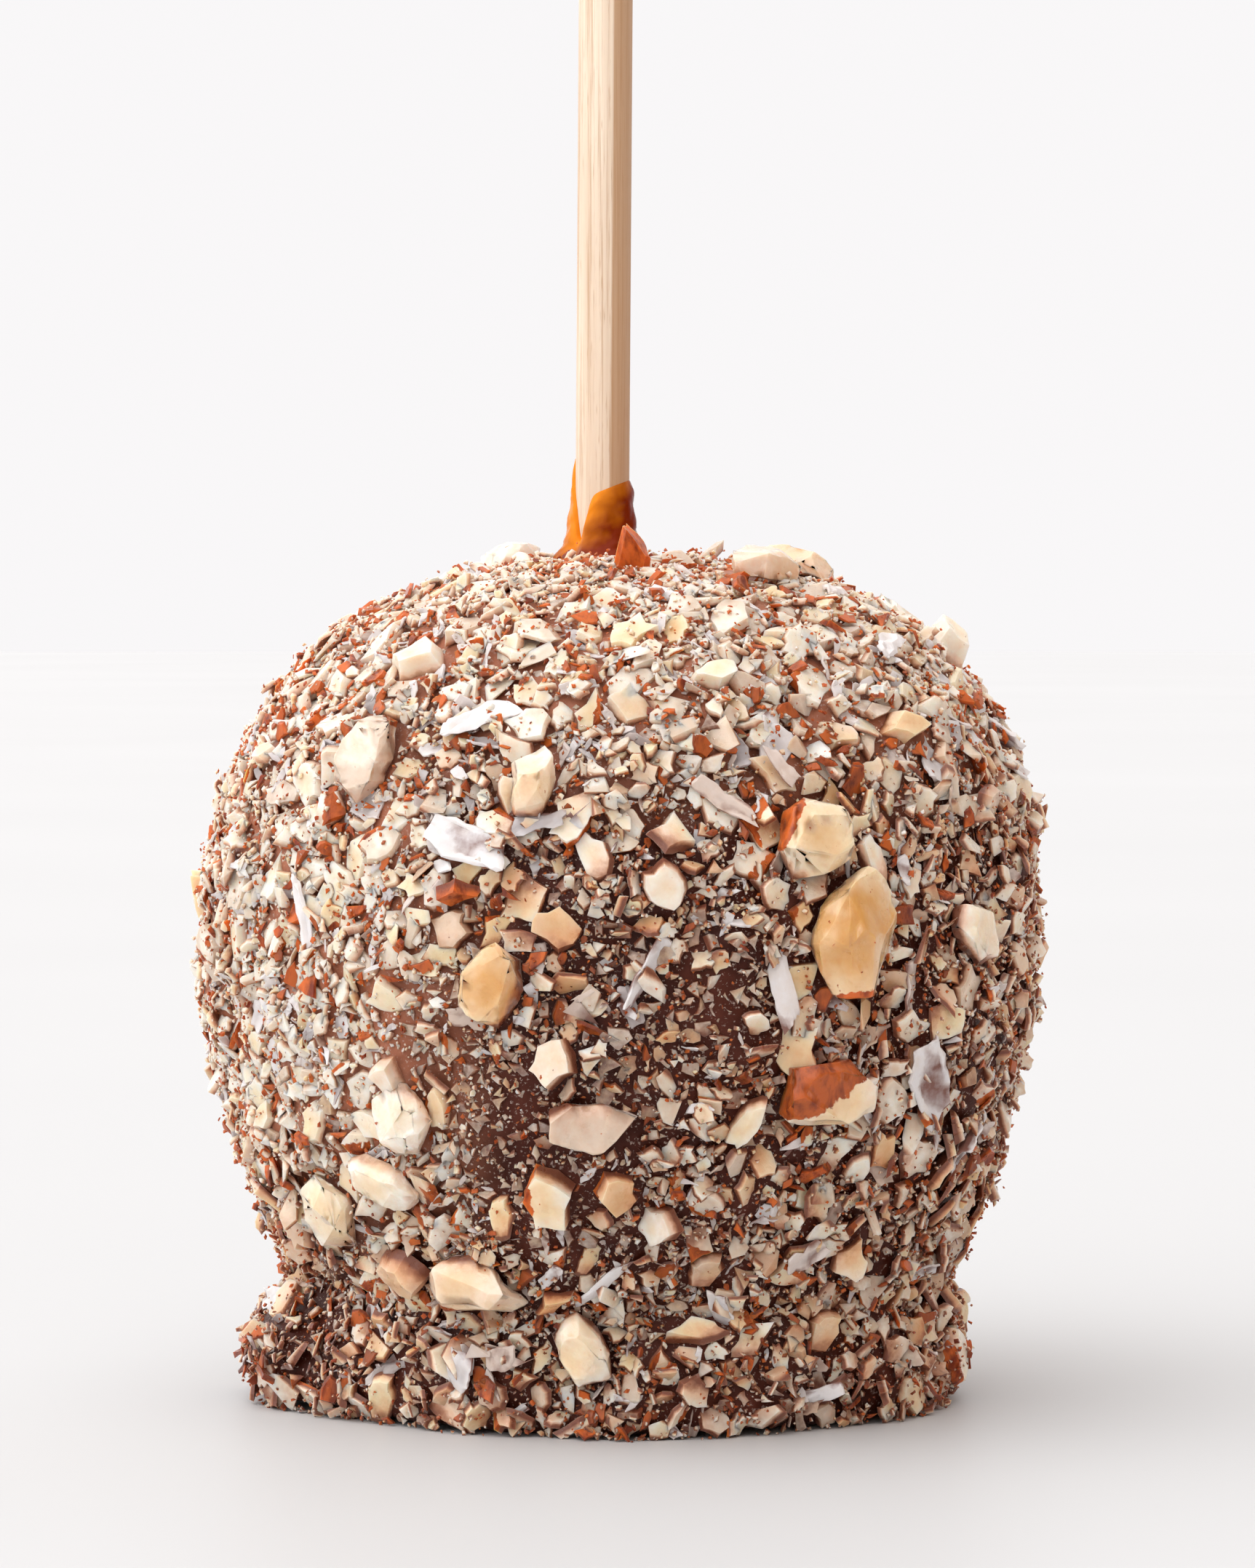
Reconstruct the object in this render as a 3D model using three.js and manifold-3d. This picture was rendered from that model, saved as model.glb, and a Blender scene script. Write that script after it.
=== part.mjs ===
// Caramel apple on a wooden stick, dipped in milk chocolate and rolled in chopped almonds and coconut.
// Millimetres, +Z up. The origin is on the flat underside, below the middle of the apple's widest part.
// The front looks along -Y, and +X is to the right of someone who faces it.

import * as THREE from "three";
import { ConvexGeometry } from "three/addons/geometries/ConvexGeometry.js";
import { mergeVertices } from "three/addons/utils/BufferGeometryUtils.js";
import Module from "manifold-3d";

// The chocolate's surface: a dome above the widest height, a taper down to a neck, and a puddled foot.
const WIDEST_RADIUS = 46.8;
const WIDEST_HEIGHT = 50;
const TOP_HEIGHT = 94;
const DOME_POWER = 2.5;
const NECK_RADIUS = 36;
const NECK_HEIGHT = 13;
const TAPER_POWER = 2;
const BASE_RADIUS = 35.8;
const FLARE_HEIGHT = 14; // the foot runs out to the sides below this height
const FLARE_AT_LEFT = 6.4;
const FLARE_AT_RIGHT = 3;
const FLARE_AT_FRONT = 1;
const LEAN = 0.042; // sideways shift of the middle for each millimetre above the widest height

// The stick and the caramel that climbs it.
const STICK_RADIUS = 3;
const STICK_LENGTH = 140;
const STICK_SUNK = 52;
const STICK_X = -2.15;
const STICK_LEAN = THREE.MathUtils.degToRad(0.4);
const STICK_CHAMFER = 0.5;
const STICK_SIDES = 24;
const COLLAR_WALL = 1;
const COLLAR_SPREAD = 2.4;
const COLLAR_HEIGHT = 7.3;
const COLLAR_CLEAR = 6.5; // radius around the stick that no topping enters

// Fits between pieces, and the share of a topping's thickness below the chocolate's surface.
const GAP = 0.3;
const CHUNK_SUNK = 0.32;
const BIT_SUNK = 0.36;
const FLAKE_SUNK = 0.3;

// How fine the facets are, and how many toppings are strewn besides the ones placed by hand.
const SIDES = 60;
const FOOT_RINGS = 5;
const TAPER_RINGS = 9;
const DOME_RINGS = 12;
const CHUNK_CORNERS = 20;
const CHUNK_CUTS = [0.62, 0.88]; // how far from the middle the blade went through, from 0 to 1
const BIT_CORNERS = 9;
const BIT_CUTS = [0.45, 0.75];
const FLAKE_CORNERS = 5;
const STREWN_CHUNKS = 11;
const STREWN_BITS = 116;
const STREWN_FLAKES = 32;
const SEED = 2718;

// Almond chunks that are pieces of their own, on the front:
// across, up, length, width, thickness, and the turn of the length from level in degrees.
const FRONT_CHUNKS = [
  [24.2, 54, 14.6, 9.6, 6.6, 74],
  [20, 64.2, 8.6, 8.2, 7, 20],
  [21.5, 37.5, 10.8, 7.2, 6.6, -6],
  [-15, 16.5, 11.8, 6.4, 5.4, -14],
  [-26.7, 72.5, 9.4, 7.4, 4.4, 62],
  [-2.6, 34.2, 11.2, 6.2, 3.4, 4],
  [-13, 49.3, 8.2, 6.8, 4.6, 60],
  [-25.3, 27.3, 9.2, 5, 3.4, -26],
  [-31.5, 23.5, 9.2, 6.6, 3.6, 78],
  [-4, 9.6, 8, 5.2, 4.4, -58],
  [-22.8, 34.2, 7.8, 6, 3.6, -62],
  [-9, 70.4, 8, 5, 4.6, 78],
];

// Smaller almond bits on the front, given the same way.
const FRONT_BITS = [
  [-7.3, 26.7, 6.8, 5.4, 4.8, 84],
  [-23.8, 17.4, 6.8, 5.4, 4.6, 10],
  [-22, 83, 7.6, 6.6, 3.2, -10],
  [5.5, 64.8, 5.6, 5.2, 3, 8],
  [30.5, 75.6, 6.8, 4, 3, -6],
  [4.7, 59.2, 5.6, 4.6, 3, -60],
  [-6.7, 55, 5.2, 4.4, 3.4, -25],
  [-17.7, 54.8, 4.8, 4.2, 2.8, 20],
  [10.2, 81.6, 5.4, 3.6, 3, 16],
  [1, 78.3, 4.8, 4, 2.6, -50],
  [13.4, 34.6, 7, 2.8, 2.2, 60],
  [24.8, 19.3, 5, 4.2, 2.4, 70],
  [4, 23.7, 4.8, 4.4, 3, -20],
  [-0.2, 27.6, 5.2, 4.6, 3.4, -50],
  [7.8, 11.4, 7.4, 2.8, 2.6, 5],
  [-7.1, 15, 5.2, 2.6, 2.4, 36],
  [21.7, 10.2, 5.2, 4.6, 2.8, 75],
  [9.3, 18.4, 4.8, 4.4, 2.4, 85],
  [-6.9, 41, 5.2, 4.6, 3.4, 40],
  [27, 61.5, 6.2, 2.6, 2.4, -70],
  [37.4, 84.2, 6.4, 5, 4.6, 60],
  [-46.6, 56, 5.6, 4.2, 3.4, 80],
];

// Coconut flakes and shreds on the front, given the same way.
const FRONT_FLAKES = [
  [-14.8, 76.7, 9.3, 4, 1.2, 22],
  [-15.8, 63.2, 11, 4.6, 1.2, -22],
  [17.2, 48.6, 9.5, 2.6, 1.2, -76],
  [11.2, 67.8, 8.5, 2.2, 1.2, -35],
  [2.6, 50.3, 9, 2.2, 1.2, 52],
  [32.8, 37.6, 10.5, 5.6, 1.2, -65],
  [19.7, 20, 5.6, 3.2, 1.2, 25],
  [-1.9, 17.4, 9, 1.6, 1.2, 48],
  [-12, 8.5, 8, 3.2, 1.4, 0],
  [20.2, 5, 6.6, 1.8, 1.2, 20],
  [-33.9, 55.2, 9.5, 1.8, 1.2, -75],
];

const wasm = await Module();
wasm.setup();

const coatLook = new THREE.MeshStandardMaterial({ color: 0x7a564c, roughness: 0.6, metalness: 0 });
const almondLook = new THREE.MeshStandardMaterial({ color: 0xe6d3ae, roughness: 0.5, metalness: 0 });
const caramelLook = new THREE.MeshStandardMaterial({ color: 0xb5610f, roughness: 0.15, metalness: 0 });
const woodLook = new THREE.MeshStandardMaterial({ color: 0xe8cda6, roughness: 0.7, metalness: 0 });

let chanceState = SEED;

// A repeatable run of numbers from 0 to 1.
function chance() {
  chanceState = (Math.imul(chanceState, 1664525) + 1013904223) >>> 0;
  return chanceState / 4294967296;
}

function between(low, high) {
  return low + (high - low) * chance();
}

// A geometry as a solid that can be joined and cut.
function solidOf(geometry) {
  geometry.deleteAttribute("normal");
  geometry.deleteAttribute("uv");
  const merged = mergeVertices(geometry, 1e-4);
  const corners = merged.index.array;
  const triVerts = [];
  for (let i = 0; i < corners.length; i += 3) {
    const [a, b, c] = corners.slice(i, i + 3);
    if (a !== b && b !== c && c !== a) triVerts.push(a, b, c);
  }
  const mesh = new wasm.Mesh({
    numProp: 3,
    vertProperties: merged.attributes.position.array,
    triVerts: new Uint32Array(triVerts),
  });
  return new wasm.Manifold(mesh);
}

function pieceOf(name, solid, look) {
  const mesh = solid.getMesh();
  const geometry = new THREE.BufferGeometry();
  geometry.setAttribute("position", new THREE.BufferAttribute(mesh.vertProperties, 3));
  geometry.setIndex(new THREE.BufferAttribute(mesh.triVerts, 1));
  geometry.computeVertexNormals();
  const piece = new THREE.Mesh(geometry, look);
  piece.name = name;
  return piece;
}

function moveVertices(geometry, move) {
  const position = geometry.attributes.position;
  const at = new THREE.Vector3();
  for (let i = 0; i < position.count; i++) {
    at.fromBufferAttribute(position, i);
    move(at);
    position.setXYZ(i, at.x, at.y, at.z);
  }
  return geometry;
}

// The chocolate's outline from the rim of the underside to the top: x is the radius, y the height.
function outline() {
  const points = [];
  for (let i = 0; i < FOOT_RINGS; i++) {
    const share = i / FOOT_RINGS;
    points.push(new THREE.Vector2(THREE.MathUtils.lerp(BASE_RADIUS, NECK_RADIUS, share), NECK_HEIGHT * share));
  }
  for (let i = 0; i < TAPER_RINGS; i++) {
    const share = i / TAPER_RINGS;
    const narrowing = (WIDEST_RADIUS - NECK_RADIUS) * (1 - share) ** TAPER_POWER;
    const height = THREE.MathUtils.lerp(NECK_HEIGHT, WIDEST_HEIGHT, share);
    points.push(new THREE.Vector2(WIDEST_RADIUS - narrowing, height));
  }
  for (let i = 0; i < DOME_RINGS; i++) {
    const turn = (Math.PI / 2) * (i / DOME_RINGS);
    const radius = WIDEST_RADIUS * Math.cos(turn) ** (2 / DOME_POWER);
    const rise = (TOP_HEIGHT - WIDEST_HEIGHT) * Math.sin(turn) ** (2 / DOME_POWER);
    points.push(new THREE.Vector2(radius, WIDEST_HEIGHT + rise));
  }
  points.push(new THREE.Vector2(0, TOP_HEIGHT));
  return points;
}

// How far the surface stands out at an azimuth and height: the apple's lobes, and runs of chocolate on them.
function unevenness(azimuth, height) {
  const lobes = 0.45 * Math.cos(5 * azimuth + 0.9) + 0.35 * Math.sin(2 * azimuth + height / 21);
  return lobes + 0.3 * Math.sin(7 * azimuth - height / 7) + 0.2 * Math.cos(11 * azimuth + height / 5);
}

// How far the puddled foot runs out: most to the sides, and with a ragged edge.
function flare(azimuth, height) {
  if (height > FLARE_HEIGHT) return 0;
  const atSide = azimuth < 0 ? FLARE_AT_LEFT : FLARE_AT_RIGHT;
  const reach = THREE.MathUtils.lerp(FLARE_AT_FRONT, atSide, Math.sin(azimuth) ** 4);
  const ragged = 0.6 * Math.sin(4 * azimuth) + 0.4 * Math.sin(9 * azimuth) + 0.3 * Math.sin(14 * azimuth + 1);
  return (reach + ragged) * Math.sin(Math.PI * THREE.MathUtils.lerp(0.2, 1, height / FLARE_HEIGHT));
}

// How far the dome's middle has moved to the right.
function shiftAt(height) {
  return LEAN * Math.max(0, height - WIDEST_HEIGHT);
}

// Azimuth 0 is the front, and it grows to the right.
function placeOnApple(azimuth, radius, height) {
  const out = radius + unevenness(azimuth, height) * Math.min(1, radius / 30) + flare(azimuth, height);
  return new THREE.Vector3(out * Math.sin(azimuth) + shiftAt(height), -out * Math.cos(azimuth), height);
}

function chocolateGeometry(grow) {
  const points = outline();
  for (const point of points) {
    const level = Math.min(1, point.x / WIDEST_RADIUS);
    point.x = point.x > 0 ? point.x + grow * level : 0;
    point.y = point.y > WIDEST_HEIGHT ? point.y + grow : point.y;
  }
  const geometry = new THREE.LatheGeometry([new THREE.Vector2(0, 0), ...points], SIDES);
  geometry.rotateX(Math.PI / 2);
  return moveVertices(geometry, (at) => {
    const radius = Math.hypot(at.x, at.y);
    if (radius > 1e-6) at.copy(placeOnApple(Math.atan2(at.x, -at.y), radius, at.z));
    else at.x = shiftAt(at.z);
  });
}

// The outline's stretches, each with its direction and the share of the whole surface that ends there.
const stretches = (() => {
  const points = outline();
  const rows = [];
  let area = 0;
  for (let i = 1; i < points.length; i++) {
    const [a, b] = [points[i - 1], points[i]];
    area += (a.x + b.x) * a.distanceTo(b);
    rows.push({ a, b, along: b.clone().sub(a).normalize(), below: area });
  }
  rows.forEach((row) => (row.below /= area));
  return rows;
})();

// A seat on the surface: where it is, and its directions level, up the side and outward.
function seatOn(stretch, share, azimuth) {
  const point = stretch.a.clone().lerp(stretch.b, share);
  const { x: run, y: rise } = stretch.along;
  const level = new THREE.Vector3(Math.cos(azimuth), Math.sin(azimuth), 0);
  const up = new THREE.Vector3(run * Math.sin(azimuth), -run * Math.cos(azimuth), rise);
  const out = new THREE.Vector3(rise * Math.sin(azimuth), -rise * Math.cos(azimuth), -run);
  return { at: placeOnApple(azimuth, point.x, point.y), level, up, out };
}

function seatFromFront(across, height) {
  const stretch = stretches.find((row) => row.b.y >= height);
  const share = (height - stretch.a.y) / (stretch.b.y - stretch.a.y);
  const radius = THREE.MathUtils.lerp(stretch.a.x, stretch.b.x, share);
  const sideways = (across - shiftAt(height)) / radius;
  return seatOn(stretch, share, Math.asin(THREE.MathUtils.clamp(sideways, -0.99, 0.99)));
}

function seatAnywhere() {
  const below = chance();
  const stretch = stretches.find((row) => row.below >= below);
  return seatOn(stretch, chance(), between(-Math.PI, Math.PI));
}

// Stretches a geometry so that it measures exactly the given length, width and thickness.
function sizeTo(geometry, length, width, thickness) {
  geometry.computeBoundingBox();
  geometry.center();
  const size = geometry.boundingBox.getSize(new THREE.Vector3());
  return geometry.scale(length / size.x, width / size.y, thickness / size.z);
}

// A chopped bit of almond: rounded where it kept its outside, flat where the blade went through.
function almondGeometry({ length, width, thickness }, corners, [nearest, farthest]) {
  const cuts = [];
  for (let i = 0; i < 3; i++) {
    const normal = new THREE.Vector3(between(-1, 1), between(-1, 1), between(-0.6, 0.9)).normalize();
    cuts.push({ normal, reach: between(nearest, farthest) });
  }
  const points = [];
  for (let i = 0; i < corners; i++) {
    const height = 1 - (2 * i + 1) / corners;
    const turn = i * 2.4 + between(-0.3, 0.3);
    const ring = Math.sqrt(1 - height * height);
    const point = new THREE.Vector3(ring * Math.cos(turn), ring * Math.sin(turn), height);
    const cubic = Math.abs(point.x) ** 3 + Math.abs(point.y) ** 3 + Math.abs(point.z) ** 3;
    point.multiplyScalar(between(0.92, 1) / Math.cbrt(cubic));
    for (const { normal, reach } of cuts) {
      const over = point.dot(normal) - reach;
      if (over > 0) point.addScaledVector(normal, -over);
    }
    points.push(point);
  }
  return sizeTo(new ConvexGeometry(points), length, width, thickness);
}

// A shaved flake: a thin plate with an uneven edge.
function flakeGeometry({ length, width, thickness }) {
  const points = [];
  for (let i = 0; i < FLAKE_CORNERS; i++) {
    const turn = (2 * Math.PI * (i + between(-0.25, 0.25))) / FLAKE_CORNERS;
    const reach = between(0.8, 1);
    for (const side of [-1, 1]) {
      points.push(new THREE.Vector3(reach * Math.cos(turn), reach * Math.sin(turn), side));
    }
  }
  return sizeTo(new ConvexGeometry(points), length, width, thickness);
}

// A topping as a solid on its seat, turned from level and sunk into the chocolate.
function layOn({ seat, thickness, turn }, geometry, sunk) {
  const lengthwise = seat.level.clone().multiplyScalar(Math.cos(turn)).addScaledVector(seat.up, Math.sin(turn));
  const crosswise = seat.out.clone().cross(lengthwise);
  const at = seat.at.clone().addScaledVector(seat.out, thickness * (0.5 - sunk));
  const placing = new THREE.Matrix4().makeBasis(lengthwise, crosswise, seat.out).setPosition(at);
  return solidOf(geometry.applyMatrix4(placing));
}

// The ground that laid toppings have taken, so that no two come closer than a gap.
const taken = [];

function isFree(at, reach, share) {
  if (at.z < reach + 0.5) return false;
  const fromStick = Math.hypot(at.x - STICK_X, at.y);
  if (at.z > WIDEST_HEIGHT && fromStick < COLLAR_CLEAR + reach) return false;
  return taken.every((spot) => spot.at.distanceTo(at) > share * (spot.reach + reach) + GAP);
}

function takeFront(rows) {
  return rows.map(([across, height, length, width, thickness, turn]) => {
    const seat = seatFromFront(across, height);
    taken.push({ at: seat.at, reach: (length + width) / 4 });
    return { seat, length, width, thickness, turn: THREE.MathUtils.degToRad(turn) };
  });
}

// Strews toppings evenly over what is still free, the largest first.
function takeAnywhere(count, sizeAt) {
  const found = [];
  for (let i = 0; i < count; i++) {
    const [length, width, thickness] = sizeAt(i / count);
    for (let attempt = 0; attempt < 200; attempt++) {
      const seat = seatAnywhere();
      const reach = length / 2;
      if (!isFree(seat.at, reach, 1)) continue;
      taken.push({ at: seat.at, reach });
      found.push({ seat, length, width, thickness, turn: between(0, Math.PI) });
      break;
    }
  }
  return found;
}

function chunkSize(share) {
  const length = THREE.MathUtils.lerp(12.5, 8.5, share);
  return [length, length * between(0.6, 0.78), length * between(0.38, 0.5)];
}

function bitSize(share) {
  const length = THREE.MathUtils.lerp(8, 4, Math.sqrt(share));
  return [length, length * between(0.6, 0.85), length * between(0.42, 0.58)];
}

function flakeSize(share) {
  const length = THREE.MathUtils.lerp(9.5, 5, share);
  return [length, length * between(0.25, 0.5), 1.2];
}

const chunks = [...takeFront(FRONT_CHUNKS)];
const bits = [...takeFront(FRONT_BITS)];
const flakes = [...takeFront(FRONT_FLAKES)];
chunks.push(...takeAnywhere(STREWN_CHUNKS, chunkSize));
flakes.push(...takeAnywhere(STREWN_FLAKES, flakeSize));
bits.push(...takeAnywhere(STREWN_BITS, bitSize));

// The stick, or the hollow that it stands in when it is grown by the gap.
function stickSolid(grow) {
  const radius = STICK_RADIUS + grow;
  const profile = [
    [0, -grow],
    [radius - STICK_CHAMFER, -grow],
    [radius, STICK_CHAMFER - grow],
    [radius, STICK_LENGTH - STICK_CHAMFER],
    [radius - STICK_CHAMFER, STICK_LENGTH],
    [0, STICK_LENGTH],
  ];
  const geometry = new THREE.LatheGeometry(profile.map(([x, y]) => new THREE.Vector2(x, y)), STICK_SIDES);
  geometry.rotateX(Math.PI / 2);
  geometry.translate(0, 0, -STICK_SUNK);
  geometry.rotateY(STICK_LEAN);
  geometry.translate(STICK_X, 0, TOP_HEIGHT);
  return solidOf(geometry);
}

// How high the caramel has climbed: a tongue on the left, a bare notch beside it, and a rise to the right.
function collarTop(azimuth) {
  const tongue = 5 * Math.exp(-(((azimuth + 1.75) / 0.3) ** 2));
  const notch = 4.6 * Math.exp(-(((azimuth + 0.82) / 0.28) ** 2));
  return COLLAR_HEIGHT + 1.2 * Math.sin(azimuth) + tongue - notch;
}

function collarSolid(core) {
  const radius = STICK_RADIUS + COLLAR_WALL;
  const profile = [new THREE.Vector2(0, -2), new THREE.Vector2(radius + COLLAR_SPREAD, -2)];
  for (const share of [0, 0.1, 0.3, 0.93]) {
    profile.push(new THREE.Vector2(radius + COLLAR_SPREAD * (1 - share) ** 4, COLLAR_HEIGHT * share));
  }
  profile.push(new THREE.Vector2(radius - 0.3, COLLAR_HEIGHT), new THREE.Vector2(0, COLLAR_HEIGHT));
  const geometry = new THREE.LatheGeometry(profile, STICK_SIDES);
  geometry.rotateX(Math.PI / 2);
  moveVertices(geometry, (at) => {
    const azimuth = Math.atan2(at.x, -at.y);
    if (at.z > 0) at.z *= Math.hypot(at.x, at.y) > 1e-6 ? collarTop(azimuth) / COLLAR_HEIGHT : 1;
  });
  geometry.translate(STICK_X, 0, TOP_HEIGHT);
  return solidOf(geometry).subtract(stickSolid(GAP)).subtract(core);
}

const grownCore = solidOf(chocolateGeometry(GAP));
for (const chunk of chunks) {
  const { length, width, thickness } = chunk;
  const geometry = almondGeometry(chunk, CHUNK_CORNERS, CHUNK_CUTS);
  const roomy = geometry.clone().scale(1 + (2 * GAP) / length, 1 + (2 * GAP) / width, 1 + (2 * GAP) / thickness);
  chunk.solid = layOn(chunk, geometry, CHUNK_SUNK).subtract(grownCore);
  chunk.room = layOn(chunk, roomy, CHUNK_SUNK);
}

// What is left of a topping beside the chunks that it would touch.
function besideChunks(topping, solid) {
  const near = chunks.filter((chunk) => chunk.seat.at.distanceTo(topping.seat.at) < chunk.length);
  return near.reduce((rest, chunk) => rest.subtract(chunk.room), solid);
}

let coat = solidOf(chocolateGeometry(0));
for (const bit of bits) {
  coat = coat.add(besideChunks(bit, layOn(bit, almondGeometry(bit, BIT_CORNERS, BIT_CUTS), BIT_SUNK)));
}
for (const flake of flakes) {
  coat = coat.add(besideChunks(flake, layOn(flake, flakeGeometry(flake), FLAKE_SUNK)));
}

const apple = new THREE.Group();
apple.name = "caramel_apple";
apple.add(pieceOf("coated_apple", coat.subtract(stickSolid(GAP)), coatLook));
apple.add(pieceOf("stick", stickSolid(0), woodLook));
apple.add(pieceOf("caramel_collar", collarSolid(grownCore), caramelLook));
chunks.forEach((chunk, i) => {
  apple.add(pieceOf(`almond_chunk_${String(i + 1).padStart(2, "0")}`, chunk.solid, almondLook));
});

export default apple;
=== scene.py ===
"""Caramel apple on a stick: chocolate coat, chopped almonds, coconut and the caramel at the stick's foot.

Metres, +Z up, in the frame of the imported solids: the front looks along -Y, and the origin is on the flat
underside. Each piece is built in place, so every object sits at the origin.
"""

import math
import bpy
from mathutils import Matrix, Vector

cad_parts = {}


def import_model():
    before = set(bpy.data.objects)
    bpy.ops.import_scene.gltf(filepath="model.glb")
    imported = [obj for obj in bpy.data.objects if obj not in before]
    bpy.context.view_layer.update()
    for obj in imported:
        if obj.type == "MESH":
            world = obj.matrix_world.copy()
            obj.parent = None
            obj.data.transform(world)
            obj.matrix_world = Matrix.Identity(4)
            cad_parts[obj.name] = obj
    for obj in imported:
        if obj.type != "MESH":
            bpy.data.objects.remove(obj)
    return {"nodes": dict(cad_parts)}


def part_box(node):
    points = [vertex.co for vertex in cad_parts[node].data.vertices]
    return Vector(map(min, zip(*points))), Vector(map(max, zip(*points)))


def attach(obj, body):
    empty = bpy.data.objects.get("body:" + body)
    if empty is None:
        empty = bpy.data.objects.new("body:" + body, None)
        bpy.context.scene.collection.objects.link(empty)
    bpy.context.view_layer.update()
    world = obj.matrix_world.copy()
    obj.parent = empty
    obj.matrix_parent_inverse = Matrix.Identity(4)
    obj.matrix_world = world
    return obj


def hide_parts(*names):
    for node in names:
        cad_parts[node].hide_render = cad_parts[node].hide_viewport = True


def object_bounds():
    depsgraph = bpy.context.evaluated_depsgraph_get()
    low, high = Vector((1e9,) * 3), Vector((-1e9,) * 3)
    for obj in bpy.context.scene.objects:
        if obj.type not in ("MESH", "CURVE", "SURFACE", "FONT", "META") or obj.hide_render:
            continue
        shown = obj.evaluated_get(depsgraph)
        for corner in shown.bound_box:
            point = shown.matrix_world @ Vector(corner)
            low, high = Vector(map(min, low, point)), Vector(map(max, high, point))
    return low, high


bl_info = {
    "name": "Caramel Apple",
    "version": (1, 0, 0),
    "blender": (4, 5, 0),
    "location": "View3D > Sidebar > Caramel Apple",
    "description": "Builds a chocolate coated caramel apple rolled in chopped almonds and coconut",
    "category": "Add Mesh",
}

from dataclasses import dataclass, field

import bmesh
import bpy
import numpy as np
from bpy.props import FloatProperty, FloatVectorProperty, IntProperty, PointerProperty
from mathutils import Matrix, Vector, noise

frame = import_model()
CAD_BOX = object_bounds()
MM = 0.001
TURN = 2 * math.pi
CHUNK_NODES = sorted(name for name in frame["nodes"] if name.startswith("almond_chunk"))
STICK_LOW, STICK_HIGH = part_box("stick")


# ---------------- sizes and colours a user would change


def length_setting(name, description, default):
    return FloatProperty(name=name, description=description, default=default, unit="LENGTH", precision=5)


def colour_setting(name, description, default):
    return FloatVectorProperty(
        name=name, description=description, default=default, subtype="COLOR", size=3, min=0, max=1
    )


class CoatSettings(bpy.types.PropertyGroup):
    widest_radius: length_setting("Widest radius", "Chocolate's radius at its widest", 46.8 * MM)
    widest_height: length_setting("Widest height", "Height of the widest radius", 50 * MM)
    top_height: length_setting("Top", "Height of the chocolate's top", 94 * MM)
    dome_power: FloatProperty(name="Dome power", description="Squareness of the dome", default=2.5)
    neck_radius: length_setting("Neck radius", "Narrowest radius, above the foot", 36 * MM)
    neck_height: length_setting("Neck height", "Height of the narrowest radius", 13 * MM)
    taper_power: FloatProperty(name="Taper power", description="How late the taper sets in", default=2)
    base_radius: length_setting("Base radius", "Radius of the flat underside", 35.8 * MM)
    flare_height: length_setting("Flare height", "The foot runs out below this height", 14 * MM)
    flare_at_left: length_setting("Flare at the left", "How far the foot runs out to the left", 6.4 * MM)
    flare_at_right: length_setting("Flare at the right", "How far the foot runs out to the right", 3 * MM)
    flare_at_front: length_setting("Flare at the front", "How far it runs out front and back", 1 * MM)
    lean: FloatProperty(name="Lean", description="Shift of the dome to the right with height", default=0.042)
    inset: length_setting("Inset", "How far the chocolate lies below its rolled outline", 1.2 * MM)
    lump: length_setting("Lumps", "Height of the lumps in the coat", 0.55 * MM)
    ripple: length_setting("Ripples", "Height of the small ripples in the chocolate", 0.3 * MM)
    chocolate: colour_setting("Chocolate", "Milk chocolate", (0.04, 0.0078, 0.0038))
    bloom: colour_setting("Bloom", "Chocolate dulled by nut flour", (0.094, 0.024, 0.0145))
    # Lighter chocolate under nut flour, on the dome and the front's left; there it is also painted light.
    dusted_and_lit: colour_setting("Dusted chocolate", "Chocolate under thick nut flour", (0.46, 0.18, 0.105))
    flour: colour_setting("Nut flour", "Finest nut dust on the chocolate", (0.6, 0.48, 0.42))
    film: colour_setting("Chocolate film", "Nut under a thin film of chocolate", (0.21, 0.112, 0.087))
    # Painted warm shade: tints the lower walls of the pieces, where they lie in the shade of their
    # neighbours.
    warm_shade: colour_setting("Stain", "Tint of a piece's edges", (0.88, 0.51, 0.325))
    # Dark chocolate at each piece's foot: chocolate that climbed there, and also painted shade in the gaps
    # between pieces.
    smear_and_shade: colour_setting("Chocolate smear", "Chocolate that climbed a piece's foot", (0.18, 0.051, 0.029))


class ToppingSettings(bpy.types.PropertyGroup):
    seed: IntProperty(name="Seed", description="Draws another apple of the same make", default=41)
    fullness: FloatProperty(name="Fullness", description="Share of all toppings", default=1, min=0, max=1)
    cell: length_setting("Map cell", "Fineness of the map that the toppings are laid on", 0.45 * MM)
    almond: colour_setting("Almond", "Cut face of an almond", (0.97, 0.89, 0.79))
    almond_warm: colour_setting("Ripe almond", "Yellower almond", (0.92, 0.74, 0.49))
    almond_grey: colour_setting("Waxy almond", "Greyer, clearer almond", (0.74, 0.63, 0.52))
    skin: colour_setting("Almond skin", "Lit red-brown skin", (0.66, 0.15, 0.028))
    # Darker skin in the creases, partly painted shade.
    skin_dark_and_shade: colour_setting("Dark almond skin", "Creases of the skin", (0.2, 0.03, 0.01))
    almond_amber: colour_setting("Amber almond", "Clear amber middle of a thick chunk", (0.74, 0.4, 0.12))
    coconut: colour_setting("Coconut", "Shaved coconut", (0.84, 0.825, 0.84))
    coconut_grey: colour_setting("Clear coconut", "Thin coconut with chocolate behind", (0.42, 0.39, 0.4))


class StickSettings(bpy.types.PropertyGroup):
    radius: length_setting("Radius", "Radius of the stick", 3 * MM)
    wood: colour_setting("Wood", "Pale birch", (0.95, 0.81, 0.65))
    # Darker grain lines; the same colour is painted as shade down the stick's right side.
    wood_grain_and_shade: colour_setting("Wood grain", "Darker lines of the grain", (0.48, 0.26, 0.12))
    # Thin caramel; thick caramel is darker, and the collar's right side is darker still as painted shade.
    caramel: colour_setting("Caramel", "Thin caramel with light in it", (0.86, 0.27, 0.012))
    caramel_dark: colour_setting("Dark caramel", "Thick caramel", (0.2, 0.02, 0.002))


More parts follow.
